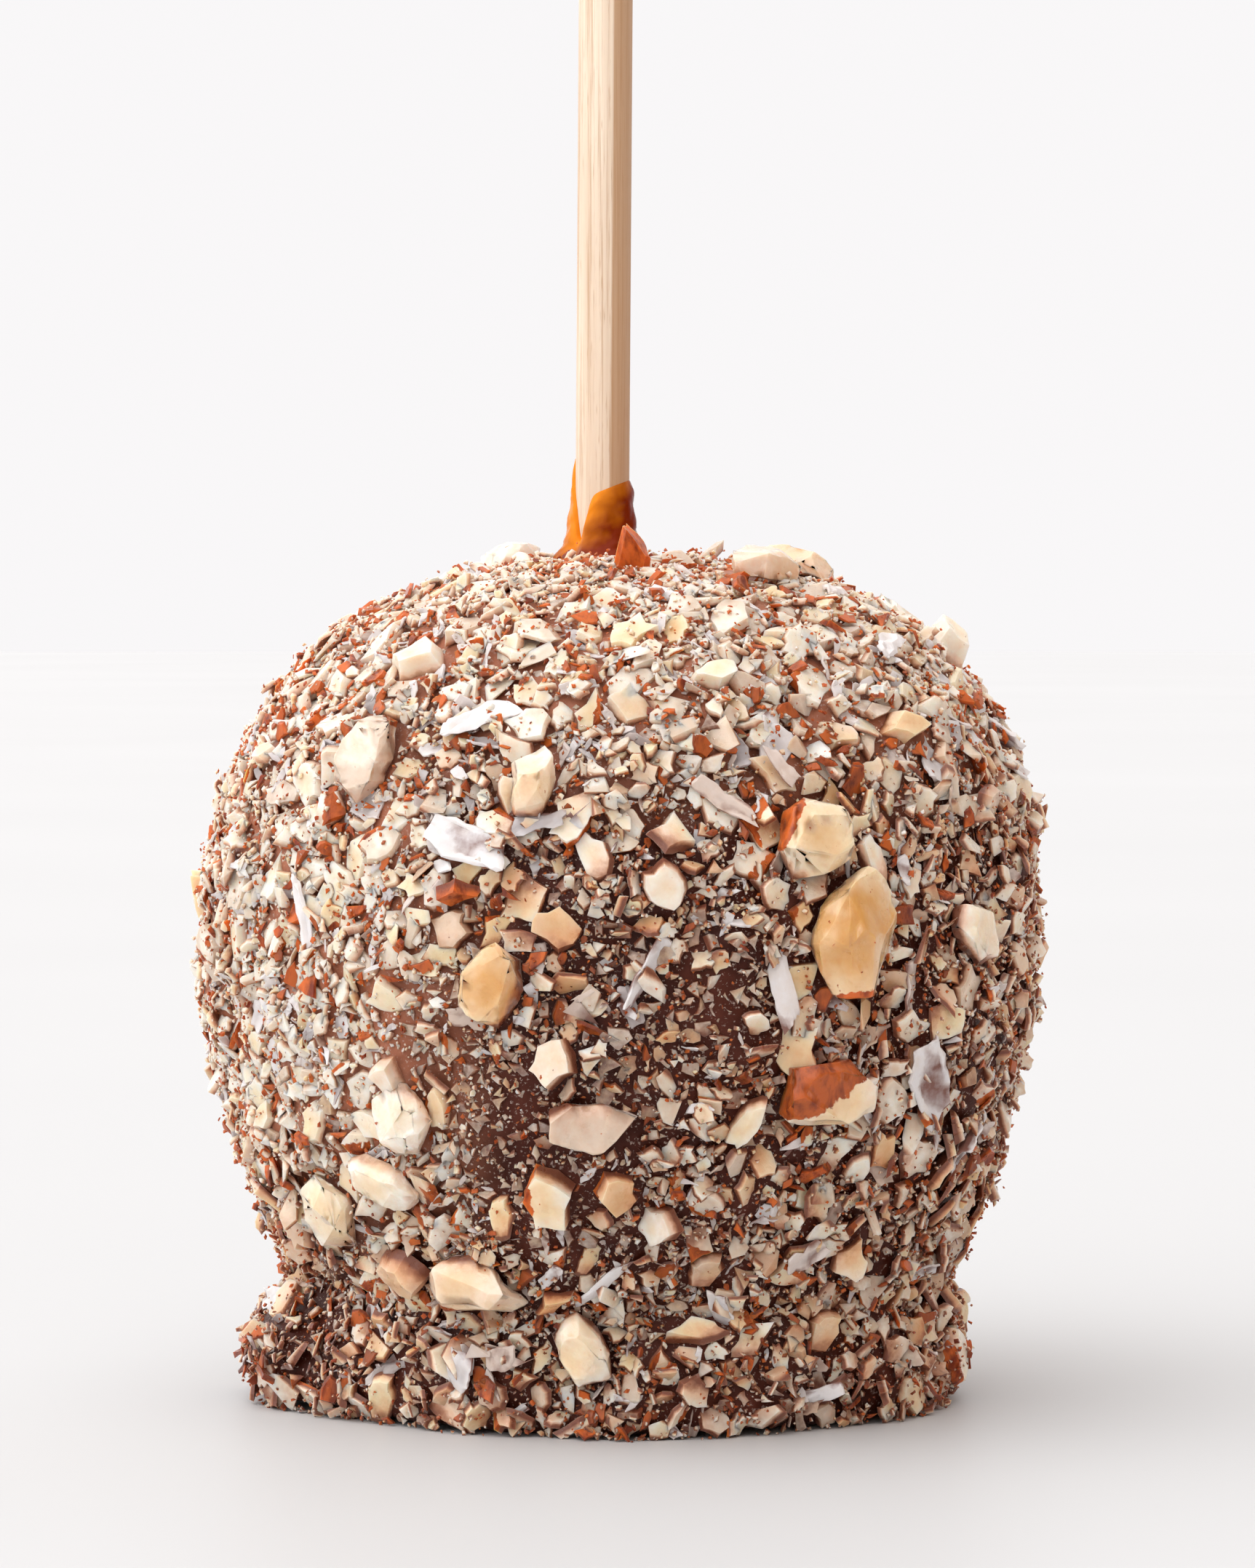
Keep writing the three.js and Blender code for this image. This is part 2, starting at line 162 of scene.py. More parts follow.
class StageSettings(bpy.types.PropertyGroup):
    floor: colour_setting("Floor", "Plain pale floor", (0.615, 0.626, 0.636))
    distance: length_setting("Camera distance", "From the camera to the apple's middle", 0.64)
    camera_height: length_setting("Camera height", "Above the floor", 0.092)
    camera_pitch: FloatProperty(
        name="Pitch", description="How far the camera looks down", default=math.radians(2.12), unit="ROTATION"
    )
    lens: FloatProperty(name="Lens", description="Focal length in mm for a 36 mm high picture", default=131.4)


class AppleSettings(bpy.types.PropertyGroup):
    coat: PointerProperty(type=CoatSettings)
    toppings: PointerProperty(type=ToppingSettings)
    stick: PointerProperty(type=StickSettings)
    stage: PointerProperty(type=StageSettings)


def settings():
    return bpy.context.scene.caramel_apple


# ---------------- the chocolate's surface


class AppleSurface:
    """The chocolate's surface: a point for each azimuth and each distance up its side from the foot."""

    def __init__(self, sizes):
        self.sizes = sizes
        self.radius, self.height = self.outline()
        steps = np.hypot(np.diff(self.radius), np.diff(self.height))
        self.along = np.concatenate(([0], np.cumsum(steps)))
        self.length = self.along[-1]
        area = np.concatenate(([0], np.cumsum(steps * (self.radius[1:] + self.radius[:-1]))))
        self.below = area / area[-1]

    def outline(self):
        """Radius and height from the rim of the underside to the top."""
        s = self.sizes
        share = np.linspace(0, 1, 10, endpoint=False)
        foot = (s.base_radius + (s.neck_radius - s.base_radius) * share, s.neck_height * share)
        share = np.linspace(0, 1, 40, endpoint=False)
        narrowing = (s.widest_radius - s.neck_radius) * (1 - share) ** s.taper_power
        taper = (s.widest_radius - narrowing, s.neck_height + (s.widest_height - s.neck_height) * share)
        turn = np.linspace(0, math.pi / 2, 70)
        power = 2 / s.dome_power
        rise = (s.top_height - s.widest_height) * np.sin(turn) ** power
        dome = (s.widest_radius * np.maximum(0, np.cos(turn)) ** power, s.widest_height + rise)
        return tuple(np.concatenate(parts) for parts in zip(foot, taper, dome))

    def unevenness(self, azimuth, height):
        """How far the apple's lobes and the runs of chocolate on them stand out."""
        mm = height / MM
        lobes = 0.45 * np.cos(5 * azimuth + 0.9) + 0.35 * np.sin(2 * azimuth + mm / 21)
        return MM * (lobes + 0.3 * np.sin(7 * azimuth - mm / 7) + 0.2 * np.cos(11 * azimuth + mm / 5))

    def lumps(self, azimuth, height):
        """How far the small lumps of the coat stand out."""
        mm = height / MM
        across = np.sin(17 * azimuth + 2.1 * np.sin(mm / 7)) * np.cos(mm / 3.1 + 1.9 * np.sin(6 * azimuth))
        slanted = np.sin(11 * azimuth + mm / 3.7) * np.cos(25 * azimuth - mm / 5.3)
        return self.sizes.lump * (across + 0.8 * slanted) * np.clip(height / (6 * MM), 0, 1)

    def flare(self, azimuth, height):
        """How far the puddled foot runs out: most to the sides, and with a ragged edge."""
        s = self.sizes
        at_side = np.where(np.sin(azimuth) < 0, s.flare_at_left, s.flare_at_right)
        reach = s.flare_at_front + (at_side - s.flare_at_front) * np.sin(azimuth) ** 4
        ragged = 0.6 * np.sin(4 * azimuth) + 0.4 * np.sin(9 * azimuth) + 0.3 * np.sin(14 * azimuth + 1)
        share = np.minimum(1, height / s.flare_height)
        return (reach + MM * ragged) * np.sin(math.pi * (0.2 + 0.8 * share))

    def shift(self, height):
        """How far the dome's middle has moved to the right."""
        return self.sizes.lean * np.maximum(0, height - self.sizes.widest_height)

    def point(self, azimuth, along):
        radius = np.interp(along, self.along, self.radius)
        height = np.interp(along, self.along, self.height)
        uneven = self.unevenness(azimuth, height) + self.lumps(azimuth, height)
        out = np.maximum(0, radius - self.sizes.inset) + uneven * np.minimum(1, radius / (30 * MM))
        out = out + self.flare(azimuth, height)
        across = out * np.sin(azimuth) + self.shift(height)
        height = height - self.sizes.inset * np.clip((height - 60 * MM) / (30 * MM), 0, 1)
        return np.stack([across, -out * np.cos(azimuth), height], axis=-1)

    def seat(self, azimuth, along):
        """Directions level, up the side and outward, one row each."""
        step = 0.3 * MM
        level = np.stack([np.cos(azimuth), np.sin(azimuth), np.zeros_like(azimuth)], axis=-1)
        low = np.clip(along - step, 0, self.length)
        high = np.clip(along + step, 0, self.length)
        up = self.point(azimuth, high) - self.point(azimuth, low)
        up -= level * np.sum(up * level, axis=-1, keepdims=True)
        up /= np.linalg.norm(up, axis=-1, keepdims=True)
        return level, up, np.cross(level, up)

    def from_front(self, across, height):
        """Azimuth and distance up the side of a spot that shows at the front."""
        along = np.interp(height, self.height, self.along)
        radius = np.interp(height, self.height, self.radius)
        return np.arcsin(np.clip((across - self.shift(height)) / radius, -0.99, 0.99)), along

    def above(self, point):
        """Azimuth and distance up the side of the spots nearest to some points."""
        azimuth = np.arctan2(point[:, 0] - self.shift(point[:, 2]), -point[:, 1])
        return azimuth, np.interp(point[:, 2], self.height, self.along)


class Crust:
    """A map of how high the toppings stand above the chocolate, in rows of cells round the apple."""

    BLOCKED = 9 * MM  # the height where a large piece stands
    OVAL = 0.27  # a piece covers the spots whose shares of its length and width, squared, add up to less
    TAKEN = 0.3  # ground counts as taken where it stands above this share of a piece's depth
    OUTSIZED = 1.5  # what lies there counts as much larger where it is this many times as long
    STEEPEST = 0.7  # the steepest slope that a piece takes from its ground
    FOOT = 0.92  # share of a large piece's outline that stands on the ground

    def __init__(self, surface, cell):
        self.surface = surface
        self.cell = cell
        rows = int(surface.length / cell) + 1
        middle = (np.arange(rows) + 0.5) * cell
        self.radius = np.maximum(np.interp(middle, surface.along, surface.radius), 1 * MM)
        self.around = np.maximum(8, (TURN * self.radius / cell).astype(int))
        self.height = np.zeros((rows, self.around.max()), np.float32)
        self.topmost = np.zeros_like(self.height)

    def cells(self, azimuth, along, level, up):
        row = np.clip(((along + up) / self.cell).astype(int), 0, len(self.radius) - 1)
        turned = (azimuth + level / self.radius[row]) / TURN
        return row, np.floor(turned * self.around[row]).astype(int) % self.around[row]

    def footprint(self, length, width, turn):
        """Points across an oval of that length and width, level and up."""
        steps = [np.linspace(-0.5, 0.5, max(2, round(size / self.cell) + 1)) for size in (length, width)]
        x, y = (grid.ravel() for grid in np.meshgrid(*steps))
        inside = x * x + y * y < self.OVAL
        if inside.any():
            x, y = x[inside], y[inside]
        x, y = x * length, y * width
        return x * math.cos(turn) - y * math.sin(turn), x * math.sin(turn) + y * math.cos(turn)

    def lay(self, azimuth, along, size, turn, crowding, sunk, cover=1):
        """Lays a topping and tells its lift and slopes, or None where its ground is taken."""
        length, width, depth = size
        level, up = self.footprint(length, width, turn)
        cells = self.cells(azimuth, along, level, up)
        under = self.height[cells]
        blocked = under == self.BLOCKED
        taken = np.mean(under > self.TAKEN * depth)
        hidden = np.mean(blocked | (self.topmost[cells] > self.OUTSIZED * length))
        if taken > crowding or hidden > cover:
            return None
        under = np.where(blocked, 0, under)
        lift = under.mean()
        slopes = [np.sum(under * side) / (np.sum(side * side) + 1e-12) for side in (level, up)]
        slopes = [float(np.clip(slope, -self.STEEPEST, self.STEEPEST)) for slope in slopes]
        top = lift + slopes[0] * level + slopes[1] * up + depth * (1 - sunk)
        self.topmost[cells] = np.where(top > under, length, self.topmost[cells])
        self.height[cells] = np.where(blocked | (crowding == 1), self.BLOCKED, np.maximum(under, top))
        return lift, *slopes

    def block(self, points):
        """Keeps toppings off the ground of a large piece with those points."""
        middle = points.mean(0)
        ends = middle + self.FOOT * (points - middle)
        for share in np.linspace(0, 1, 9):
            between = (ends[:, None] * share + ends[None] * (1 - share)).reshape(-1, 3)
            self.height[self.cells(*self.surface.above(between), 0, 0)] = self.BLOCKED


# ---------------- steps that several shapes share


def places(verts):
    """The places of some corners, one row each."""
    return np.array([vert.co for vert in verts])


def cut_off(bm, point, direction):
    """Cuts off what lies beyond a plane."""
    everything = bm.verts[:] + bm.edges[:] + bm.faces[:]
    bmesh.ops.bisect_plane(
        bm, geom=everything, dist=1e-6, plane_co=point, plane_no=direction, clear_outer=True
    )


def close_holes(bm):
    bmesh.ops.holes_fill(bm, edges=[edge for edge in bm.edges if edge.is_boundary])


def cut_away(bm, point, direction):
    """Cuts off what lies beyond a plane and closes the cut."""
    cut_off(bm, point, direction)
    close_holes(bm)


def close_rolled_grid(bm):
    """Joins the two ends of a grid that was rolled up, and closes its rims."""
    bmesh.ops.remove_doubles(bm, verts=bm.verts[:], dist=0.01 * MM)
    close_holes(bm)
    bmesh.ops.recalc_face_normals(bm, faces=bm.faces[:])


def break_edges(bm, edges, width, segments):
    bmesh.ops.bevel(
        bm, geom=edges, offset=width, offset_type="OFFSET", affect="EDGES", segments=segments,
        profile=0.5, material=-1, clamp_overlap=True,
    )


def wear(bm, cuts, roughness=0, offset=Vector()):
    """Splits a shape's faces finely and makes them uneven, with ragged edges."""
    bmesh.ops.triangulate(bm, faces=bm.faces[:])
    bmesh.ops.subdivide_edges(bm, edges=bm.edges[:], cuts=cuts, use_grid_fill=True)
    bm.normal_update()
    for vert in bm.verts:
        vert.co += vert.normal * (roughness * noise.fractal(vert.co * 2.6 + offset, 1, 2, 3))


# ---------------- small shapes, each within one unit


def to_unit(bm):
    """Centres a shape and stretches it to one unit each way."""
    corners = places(bm.verts)
    low, high = corners.min(0), corners.max(0)
    for vert, corner in zip(bm.verts, (corners - (low + high) / 2) / np.maximum(high - low, 1e-9)):
        vert.co = corner


def finished_shape(bm, skin_side=None):
    """A shape as corners, triangles and the share of skin on each corner."""
    to_unit(bm)
    bmesh.ops.triangulate(bm, faces=bm.faces[:])
    bmesh.ops.recalc_face_normals(bm, faces=bm.faces[:])
    bm.verts.index_update()
    corners = places(bm.verts)
    triangles = np.array([[vert.index for vert in face.verts] for face in bm.faces])
    skin = np.zeros(len(corners))
    if skin_side is not None:
        skin = np.clip((corners @ np.array(skin_side) - 0.16) / 0.12, 0, 1)
    bm.free()
    return corners, triangles, skin


def random_direction(rng, flatness):
    angle = rng.uniform(0, TURN)
    return Vector((math.cos(angle), math.sin(angle), rng.uniform(-flatness, flatness))).normalized()


def chopped_almond(rng, cuts):
    """An angular chip: a block that blades went through."""
    bm = bmesh.new()
    bmesh.ops.create_cube(bm, size=1)
    for _ in range(cuts):
        direction = random_direction(rng, 0.6)
        cut_away(bm, direction * rng.uniform(0.2, 0.46), direction)
    tilt = Vector((rng.uniform(-0.5, 0.5), rng.uniform(-0.5, 0.5), 1)).normalized()
    cut_away(bm, tilt * rng.uniform(0.15, 0.36), tilt)
    bmesh.ops.remove_doubles(bm, verts=bm.verts[:], dist=0.1)
    return finished_shape(bm, random_direction(rng, 1.5))


def shard(rng, corners=(3, 5), cuts=1, worn=0):
    """A flat splinter: a few corners, ragged sides between them, sloping walls and an uneven top."""
    bm = bmesh.new()
    corners = int(rng.integers(corners[0], corners[1] + 1))
    bmesh.ops.create_circle(bm, cap_ends=True, segments=corners, radius=0.5)
    for vert in bm.verts:
        turn = Matrix.Rotation(rng.uniform(-0.3, 0.3) * TURN / corners, 3, "Z")
        vert.co = turn @ vert.co * rng.uniform(0.45 + 0.07 * corners, 1)
    bmesh.ops.bisect_edges(bm, edges=bm.edges[:], cuts=cuts)
    for vert in bm.verts:
        vert.co += Vector((*rng.uniform(-0.07, 0.07, 2), 0))
    grown = bmesh.ops.extrude_face_region(bm, geom=bm.faces[:])["geom"]
    top = next(part for part in grown if isinstance(part, bmesh.types.BMFace))
    tilt = Vector((*rng.uniform(-0.6, 0.6, 2), 0))
    taper = rng.uniform(0.72, 0.95)
    for vert in top.verts:
        level = rng.uniform(0.54, 0.62) + tilt.dot(vert.co)
        vert.co = vert.co * (taper + rng.uniform(-0.04, 0.04)) + Vector((0, 0, level))
    bmesh.ops.poke(bm, faces=[top], offset=rng.uniform(-0.02, 0.05))
    if worn:
        wear(bm, worn, 0.05, Vector(rng.uniform(0, 50, 3)))
    return finished_shape(bm, random_direction(rng, 1.5))


def nut_grain(rng):
    """A grain of nut meal: four sides with a slanting top."""
    bm = bmesh.new()
    bmesh.ops.create_cone(
        bm, cap_ends=True, segments=4, radius1=0.5, radius2=rng.uniform(0.15, 0.45), depth=0.8
    )
    for vert in bm.verts:
        vert.co += Vector(rng.uniform(-0.16, 0.16, 3))
    return finished_shape(bm)


def shaving(rng, lengthwise, crosswise, cuts, curl, thickness):
    """A curled plate with a ragged edge: a flake or a shred of coconut."""
    bm = bmesh.new()
    bmesh.ops.create_grid(bm, x_segments=lengthwise, y_segments=crosswise, size=0.5)
    for i in range(cuts):
        angle = TURN * (i + rng.uniform(-0.16, 0.16)) / cuts
        direction = Vector((math.cos(angle), math.sin(angle), 0))
        cut_off(bm, direction * rng.uniform(0.3, 0.5), direction)
    bend, twist, bow, sway = rng.uniform(-curl, curl, 4)
    offset = Vector(rng.uniform(0, 50, 3))
    for vert in bm.verts:
        x, y = vert.co.x, vert.co.y
        ripple = 0.3 * curl * noise.noise(vert.co * 4 + offset)
        if any(edge.is_boundary for edge in vert.link_edges):
            vert.co.x += 0.07 * noise.noise(vert.co * 9 + offset)
            vert.co.y += 0.2 * noise.noise(vert.co * 6 - offset)
        vert.co.y = vert.co.y * (1 - 1.2 * x * x) + sway * x * x
        vert.co.z = bend * x * x + bow * y * y + twist * x * y + ripple
    bmesh.ops.remove_doubles(bm, verts=bm.verts[:], dist=0.02)
    bmesh.ops.solidify(bm, geom=bm.faces[:], thickness=thickness)
    return finished_shape(bm)


# ---------------- kinds of topping

LARGE_ONES = 0.6  # above this power there would be more large pieces, and below it fewer


@dataclass(eq=False)
class Kind:
    """One kind of topping: its shapes, its sizes in millimetres, and how it lies."""

    name: str
    material: str
    shapes: list
    count: int
    lengths: tuple  # the longest and the shortest
    widths: tuple  # the least and the most, as shares of the length
    depths: tuple
    crowding: float = 0.2  # share of its ground that may be taken
    cover: float = 0.2  # share of its ground that much larger pieces may hold
    sunk: float = 0.3  # share of its depth that lies below its ground
    tumble: float = 0.15  # how far it tips over
    skinned: float = 0  # share of the pieces that kept their skin
    filmed: float = 0  # how thick a film of chocolate covers it
    coarse: bool = False  # gathers with the other coarse ones
    late: bool = False  # laid after the front's flakes
    on_top: float = None  # for the finest, the share that lies on other pieces
    laid: list = field(default_factory=list)

    def draw_sizes(self, rng, count):
        """Many small ones and few large ones, the largest first."""
        share = (np.arange(count) + 0.5) / count
        longest, shortest = self.lengths
        length = longest * (shortest / longest) ** (share**LARGE_ONES)
        width = length * rng.uniform(*self.widths, count)
        depth = length * rng.uniform(*self.depths, count)
        return np.stack([length, width, depth], axis=-1) * MM


def several(make, count, *how, **more):
    return [make(*how, **more) for _ in range(count)]


def topping_kinds(rng):
    """Every kind, with a few dozen shapes for each."""
    kinds = (
        Kind(
            "almond_slabs", "chopped_almond", several(shard, 24, rng, (4, 6), worn=1),
            540, (7.2, 4.2), (0.5, 0.9), (0.14, 0.28), crowding=0.45, sunk=0.1, tumble=0.22, skinned=0.22,
            coarse=True,
        ),
        Kind(
            "almond_bits", "chopped_almond",
            several(shard, 28, rng, (4, 6), cuts=2) + several(chopped_almond, 12, rng, 5),
            2300, (5, 2.6), (0.45, 0.9), (0.14, 0.3), crowding=0.65, sunk=0, tumble=0.34, skinned=0.15,
            coarse=True,
        ),
        Kind(
            "almond_chips", "chopped_almond", several(shard, 28, rng) + several(chopped_almond, 12, rng, 5),
            4400, (2.8, 1.25), (0.45, 1), (0.18, 0.4), crowding=0.9, cover=0.45, sunk=0, tumble=0.45,
            skinned=0.1,
        ),
        Kind(
            "almond_grit", "chopped_almond", several(shard, 40, rng, cuts=0),
            8500, (1.3, 0.5), (0.45, 1), (0.25, 0.55), crowding=0.95, cover=0.5, sunk=0.1, tumble=0.6,
            late=True,
        ),
        Kind(
            "filmed_chips", "chopped_almond", several(shard, 30, rng),
            3200, (3.4, 0.8), (0.45, 0.95), (0.22, 0.45), crowding=0.45, sunk=0.5, tumble=0.2, filmed=0.75,
        ),
        Kind(
            "coconut_flakes", "shaved_coconut", several(shaving, 20, rng, 10, 4, 4, 0.5, 0.1),
            190, (8, 3.4), (0.25, 0.6), (0.1, 0.2), crowding=0.5, sunk=0.1, tumble=0.2,
        ),
        Kind(
            "coconut_shreds", "shaved_coconut", several(shaving, 24, rng, 4, 1, 3, 1.0, 0.2),
            2600, (4.4, 1.2), (0.2, 0.5), (0.1, 0.22), crowding=0.8, cover=0.4, sunk=0.1, tumble=0.35,
        ),
        Kind(
            "skin_flakes", "almond_skin", several(shard, 24, rng),
            2500, (3.8, 0.9), (0.3, 0.8), (0.12, 0.3), crowding=0.97, cover=0.75, sunk=0.1, tumble=0.4,
            late=True,
        ),
        Kind(
            "nut_meal", "chopped_almond", several(nut_grain, 24, rng),
            14500, (1, 0.3), (0.55, 1), (0.4, 0.8), tumble=0.8, on_top=0.3,
        ),
        Kind(
            "skin_specks", "almond_skin", several(nut_grain, 10, rng),
            11500, (1, 0.3), (0.4, 1), (0.25, 0.6), sunk=0.25, tumble=0.8, on_top=0.5,
        ),
    )
    return {kind.name: kind for kind in kinds}


# Toppings on the front that are listed one by one, in millimetres and degrees:
# across, up, length, width, depth, turn of the length from level, warmth, skinned.
FRONT_SLABS = [
    (-7.3, 26.7, 6.8, 5.4, 3.2, 84, 0.7, 1),
    (-23.8, 17.4, 6.8, 5.4, 3.4, 10, 0.6, 0),
    (-22, 83, 7.6, 6.6, 2.6, -10, 0.5, 0),
    (5.5, 64.8, 5.6, 5.2, 2.2, 8, 0.45, 0),
    (30.5, 75.6, 6.8, 4, 2.6, -6, 0.7, 0),
    (4.7, 59.2, 5.6, 4.6, 2, -60, 0.25, 0),
    (-6.7, 55, 5.2, 4.4, 2.6, -25, 0.7, 0),
    (-17.7, 54.8, 4.8, 4.2, 2.2, 20, 0.2, 0),
    (10.2, 81.6, 5.4, 3.6, 2.4, 16, 0.5, 0),
    (1, 78.3, 4.8, 4, 2.2, -50, 0.6, 0),
    (13.4, 34.6, 7, 2.8, 2, 60, 0.5, 0),
    (24.8, 19.3, 5, 4.2, 2.2, 70, 0.7, 0),
    (4, 23.7, 4.8, 4.4, 2.4, -20, 0.3, 0),
    (-0.2, 27.6, 5.2, 4.6, 2.6, -50, 0.9, 1),
    (7.8, 11.4, 7.4, 2.8, 2.2, 5, 0.6, 0),
    (-7.1, 15, 5.2, 2.6, 2.2, 36, 0.8, 0),
    (21.7, 10.2, 5.2, 4.6, 2.4, 75, 0.75, 0),
    (9.3, 18.4, 4.8, 4.4, 2, 85, 0.5, 0),
    (-6.9, 41, 5.2, 4.6, 2.8, 40, 0.4, 0),
    (27, 61.5, 6.2, 2.6, 2.2, -70, 0.2, 0),
    (37.4, 84.2, 6.4, 5, 4.2, 60, 0.4, 0),
    (-46.6, 56, 5.6, 4.2, 3, 80, 0.9, 0),
    (-2.8, 62.4, 5.6, 3.4, 1.8, -64, 0.3, 0),
    (-11.6, 68.8, 4.6, 2.4, 1.8, -70, 0.5, 0),
    (-24.5, 39, 5.4, 4.4, 2, 60, 0.15, 0),
    (-27, 33.4, 6.6, 4, 2.2, -35, 0.45, 0),
    (1.7, 93.2, 4.2, 3, 5.8, -30, 1.3, 2),
]
FRONT_SKINS = [
    (-16.4, 58.6, 5, 3.2, 1.8, -8, 0.6, 0),
]
FRONT_FLAKES = [
    (-14.8, 76.7, 9.3, 4, 1, 22, 0, 0),
    (-15.8, 63.2, 11, 4.6, 1, -22, 0.2, 0),
    (-8.4, 66, 6.4, 2.8, 0.7, 5, 0.8, 0),
    (-4.6, 66.4, 5.4, 2.2, 0.8, 60, 0.4, 0),
    (17.2, 48.6, 9.5, 2.6, 1.1, -76, 0, 0),
    (17, 71.4, 5.5, 1.8, 0.8, -52, 0, 0),
    (11.2, 67.8, 8.5, 2.2, 0.8, -35, 0.3, 0),
    (2.6, 50.3, 9, 2.2, 0.8, 52, 0.3, 0),
    (32.8, 37.6, 10.5, 5.6, 1, -65, 0.3, 0),
    (37.1, 31.6, 4.8, 2.8, 0.8, 15, 0, 0),
    (19.7, 20, 5.6, 3.2, 0.9, 25, 0.3, 0),
    (-1.9, 17.4, 9, 1.3, 0.8, 48, 0, 0),
    (-12, 8.5, 8, 3.2, 1.2, 0, 0, 0),
    (20.2, 4, 6.6, 1.8, 0.9, 20, 0, 0),
    (-16.6, 7, 5.2, 4.4, 1.2, 60, 0.4, 0),
    (-33.9, 55.2, 9.5, 1.8, 0.8, -75, 0, 0),
    (10.5, 14.4, 5.4, 2.4, 0.8, -70, 0.6, 0),
    (28.2, 84.2, 4.4, 3, 1, 20, 0, 0),
    (23, 90, 4.4, 2.6, 1, 0, 0, 0),
    (-3.6, 46.4, 4.2, 3.8, 0.9, 30, 0.2, 0),
]

# Where chocolate shows on the front, in millimetres: across, up, half width, half height, how bare it is.
BARE_PATCHES = [
    (9.5, 47.5, 8, 8, 0.92),
    (-11, 34, 8, 10, 0.85),
    (3.5, 40, 9, 6, 0.75),
    (-8, 28, 8, 6, 0.8),
    (0, 52, 9, 6, 0.6),
    (-20, 43, 9, 8, 0.5),
    (0, 21, 9, 6, 0.6),
    (6, 58, 9, 6, 0.4),
    (2, 36, 22, 24, 0.35),
]


# Where nut flour begins to lie and where it lies thickest, in millimetres. On the dome and the front's left
# the same mask is also painted light, for these are the sides that the light falls on.
FLOUR_AND_LIGHT_UP_THE_DOME = (64, 80)
FLOUR_AND_LIGHT_TO_THE_LEFT = (12, 26)
FLOUR_AND_LIGHT_UP_THE_LEFT = (16, 30)
DUST_TO_THE_BACK = (0, 20)
MOST_AT_THE_BACK = 0.5


def share_between(value, limits):
    """From 0 at the first limit to 1 at the second."""
    start, end = limits
    return np.clip((value - start) / (end - start), 0, 1)


def flour_and_painted_light(point):
    """From 0 to 1, how thick nut flour lies: most on the dome, and on the front's left. There it is also
    painted light, making the chocolate and the pieces lighter where the light falls.
    """
    across, back, up = (point / MM).T
    dome = share_between(up, FLOUR_AND_LIGHT_UP_THE_DOME)
    left = share_between(-across, FLOUR_AND_LIGHT_TO_THE_LEFT) * share_between(up, FLOUR_AND_LIGHT_UP_THE_LEFT)
    behind = np.minimum(share_between(back, DUST_TO_THE_BACK), MOST_AT_THE_BACK)
    return np.maximum(np.maximum(dome, left), behind)


FAINT_PATCHES = 11  # size in millimetres of the faint bare patches all over the apple


def bareness(surface, azimuth, along):
    """From 0, where toppings lie thick, to 1, where the chocolate is bare."""
    point = surface.point(azimuth, along) / MM
    front = point[:, 1] < 0
    bare = np.zeros(len(azimuth))
    for across, up, half_width, half_height, depth in BARE_PATCHES:
        away = ((point[:, 0] - across) / half_width) ** 2 + ((point[:, 2] - up) / half_height) ** 2
        bare = np.maximum(bare, np.where(front, depth * np.exp(-(away**2)), 0))
    drift = np.array([noise.noise(Vector(spot) / FAINT_PATCHES) for spot in point])
    return np.maximum(bare, np.clip(drift * 1.6, 0, 0.5) * (1 - flour_and_painted_light(point * MM)))


GATHERED = 6 * MM  # size of the spots where coarse pieces gather, and of those between with fine ones
TRIES = 14  # spots that a piece tries before it is left out
EMPTINESS = 2.4  # above 1, a half bare spot keeps fewer than half of its pieces
THICK = 3 * MM  # where the crust is thicker, nothing fine lies on it
GAP = 0.7 * MM  # where the crust is thinner, it counts as a gap
SETTLED = 0.92  # height that dust lies at, as a share of the crust's


def random_spots(rng, surface, count):
    """Spots spread evenly over the whole surface, as azimuths and distances up the side."""
    below = rng.uniform(0, 1, count)
    return rng.uniform(-math.pi, math.pi, count), np.interp(below, surface.below, surface.along)


def record(kind, azimuth, along, size, turn, rest, warmth=None, skinned=None):
    kind.laid.append(((azimuth, along, *size, turn, *rest), warmth, skinned))


def lay_by_hand(rows, kind, surface, crust):
    for across, up, length, width, depth, turn, warmth, skinned in rows:
        azimuth, along = (float(value) for value in surface.from_front(across * MM, up * MM))
        size = (length * MM, width * MM, depth * MM)
        turn = math.radians(turn)
        rest = crust.lay(azimuth, along, size, turn, 1, kind.sunk)
        record(kind, azimuth, along, size, turn, rest, warmth, skinned)


def strew(rng, kinds, surface, crust, fullness, late):
    """Strews all early or all late kinds together, the largest pieces first."""
    queue = []
    for kind in kinds.values():
        if kind.on_top is None and kind.late == late:
            queue += [(size, kind) for size in kind.draw_sizes(rng, int(kind.count * fullness))]
    queue.sort(key=lambda item: -item[0][0])
    azimuths, alongs = random_spots(rng, surface, len(queue) * TRIES)
    bare = bareness(surface, azimuths, alongs)
    points = surface.point(azimuths, alongs)
    mixed = np.array([noise.noise(Vector(point)) for point in points / GATHERED])
    shut_to_coarse = np.maximum(1.2 * mixed, 0.3 * flour_and_painted_light(points))
    shut_to_fine = -0.9 * mixed
    empty = 1 - (1 - bare) ** EMPTINESS
    luck = rng.uniform(0, 1, len(azimuths))
    turns = rng.uniform(0, math.pi, len(azimuths))
    for i, (size, kind) in enumerate(queue):
        shut = shut_to_coarse if kind.coarse else shut_to_fine
        for k in range(i * TRIES, (i + 1) * TRIES):
            if not kind.filmed and luck[k] < max(empty[k], shut[k]):
                continue
            rest = crust.lay(azimuths[k], alongs[k], size, turns[k], kind.crowding, kind.sunk, kind.cover)
            if rest is not None:
                record(kind, azimuths[k], alongs[k], size, turns[k], rest)
                break


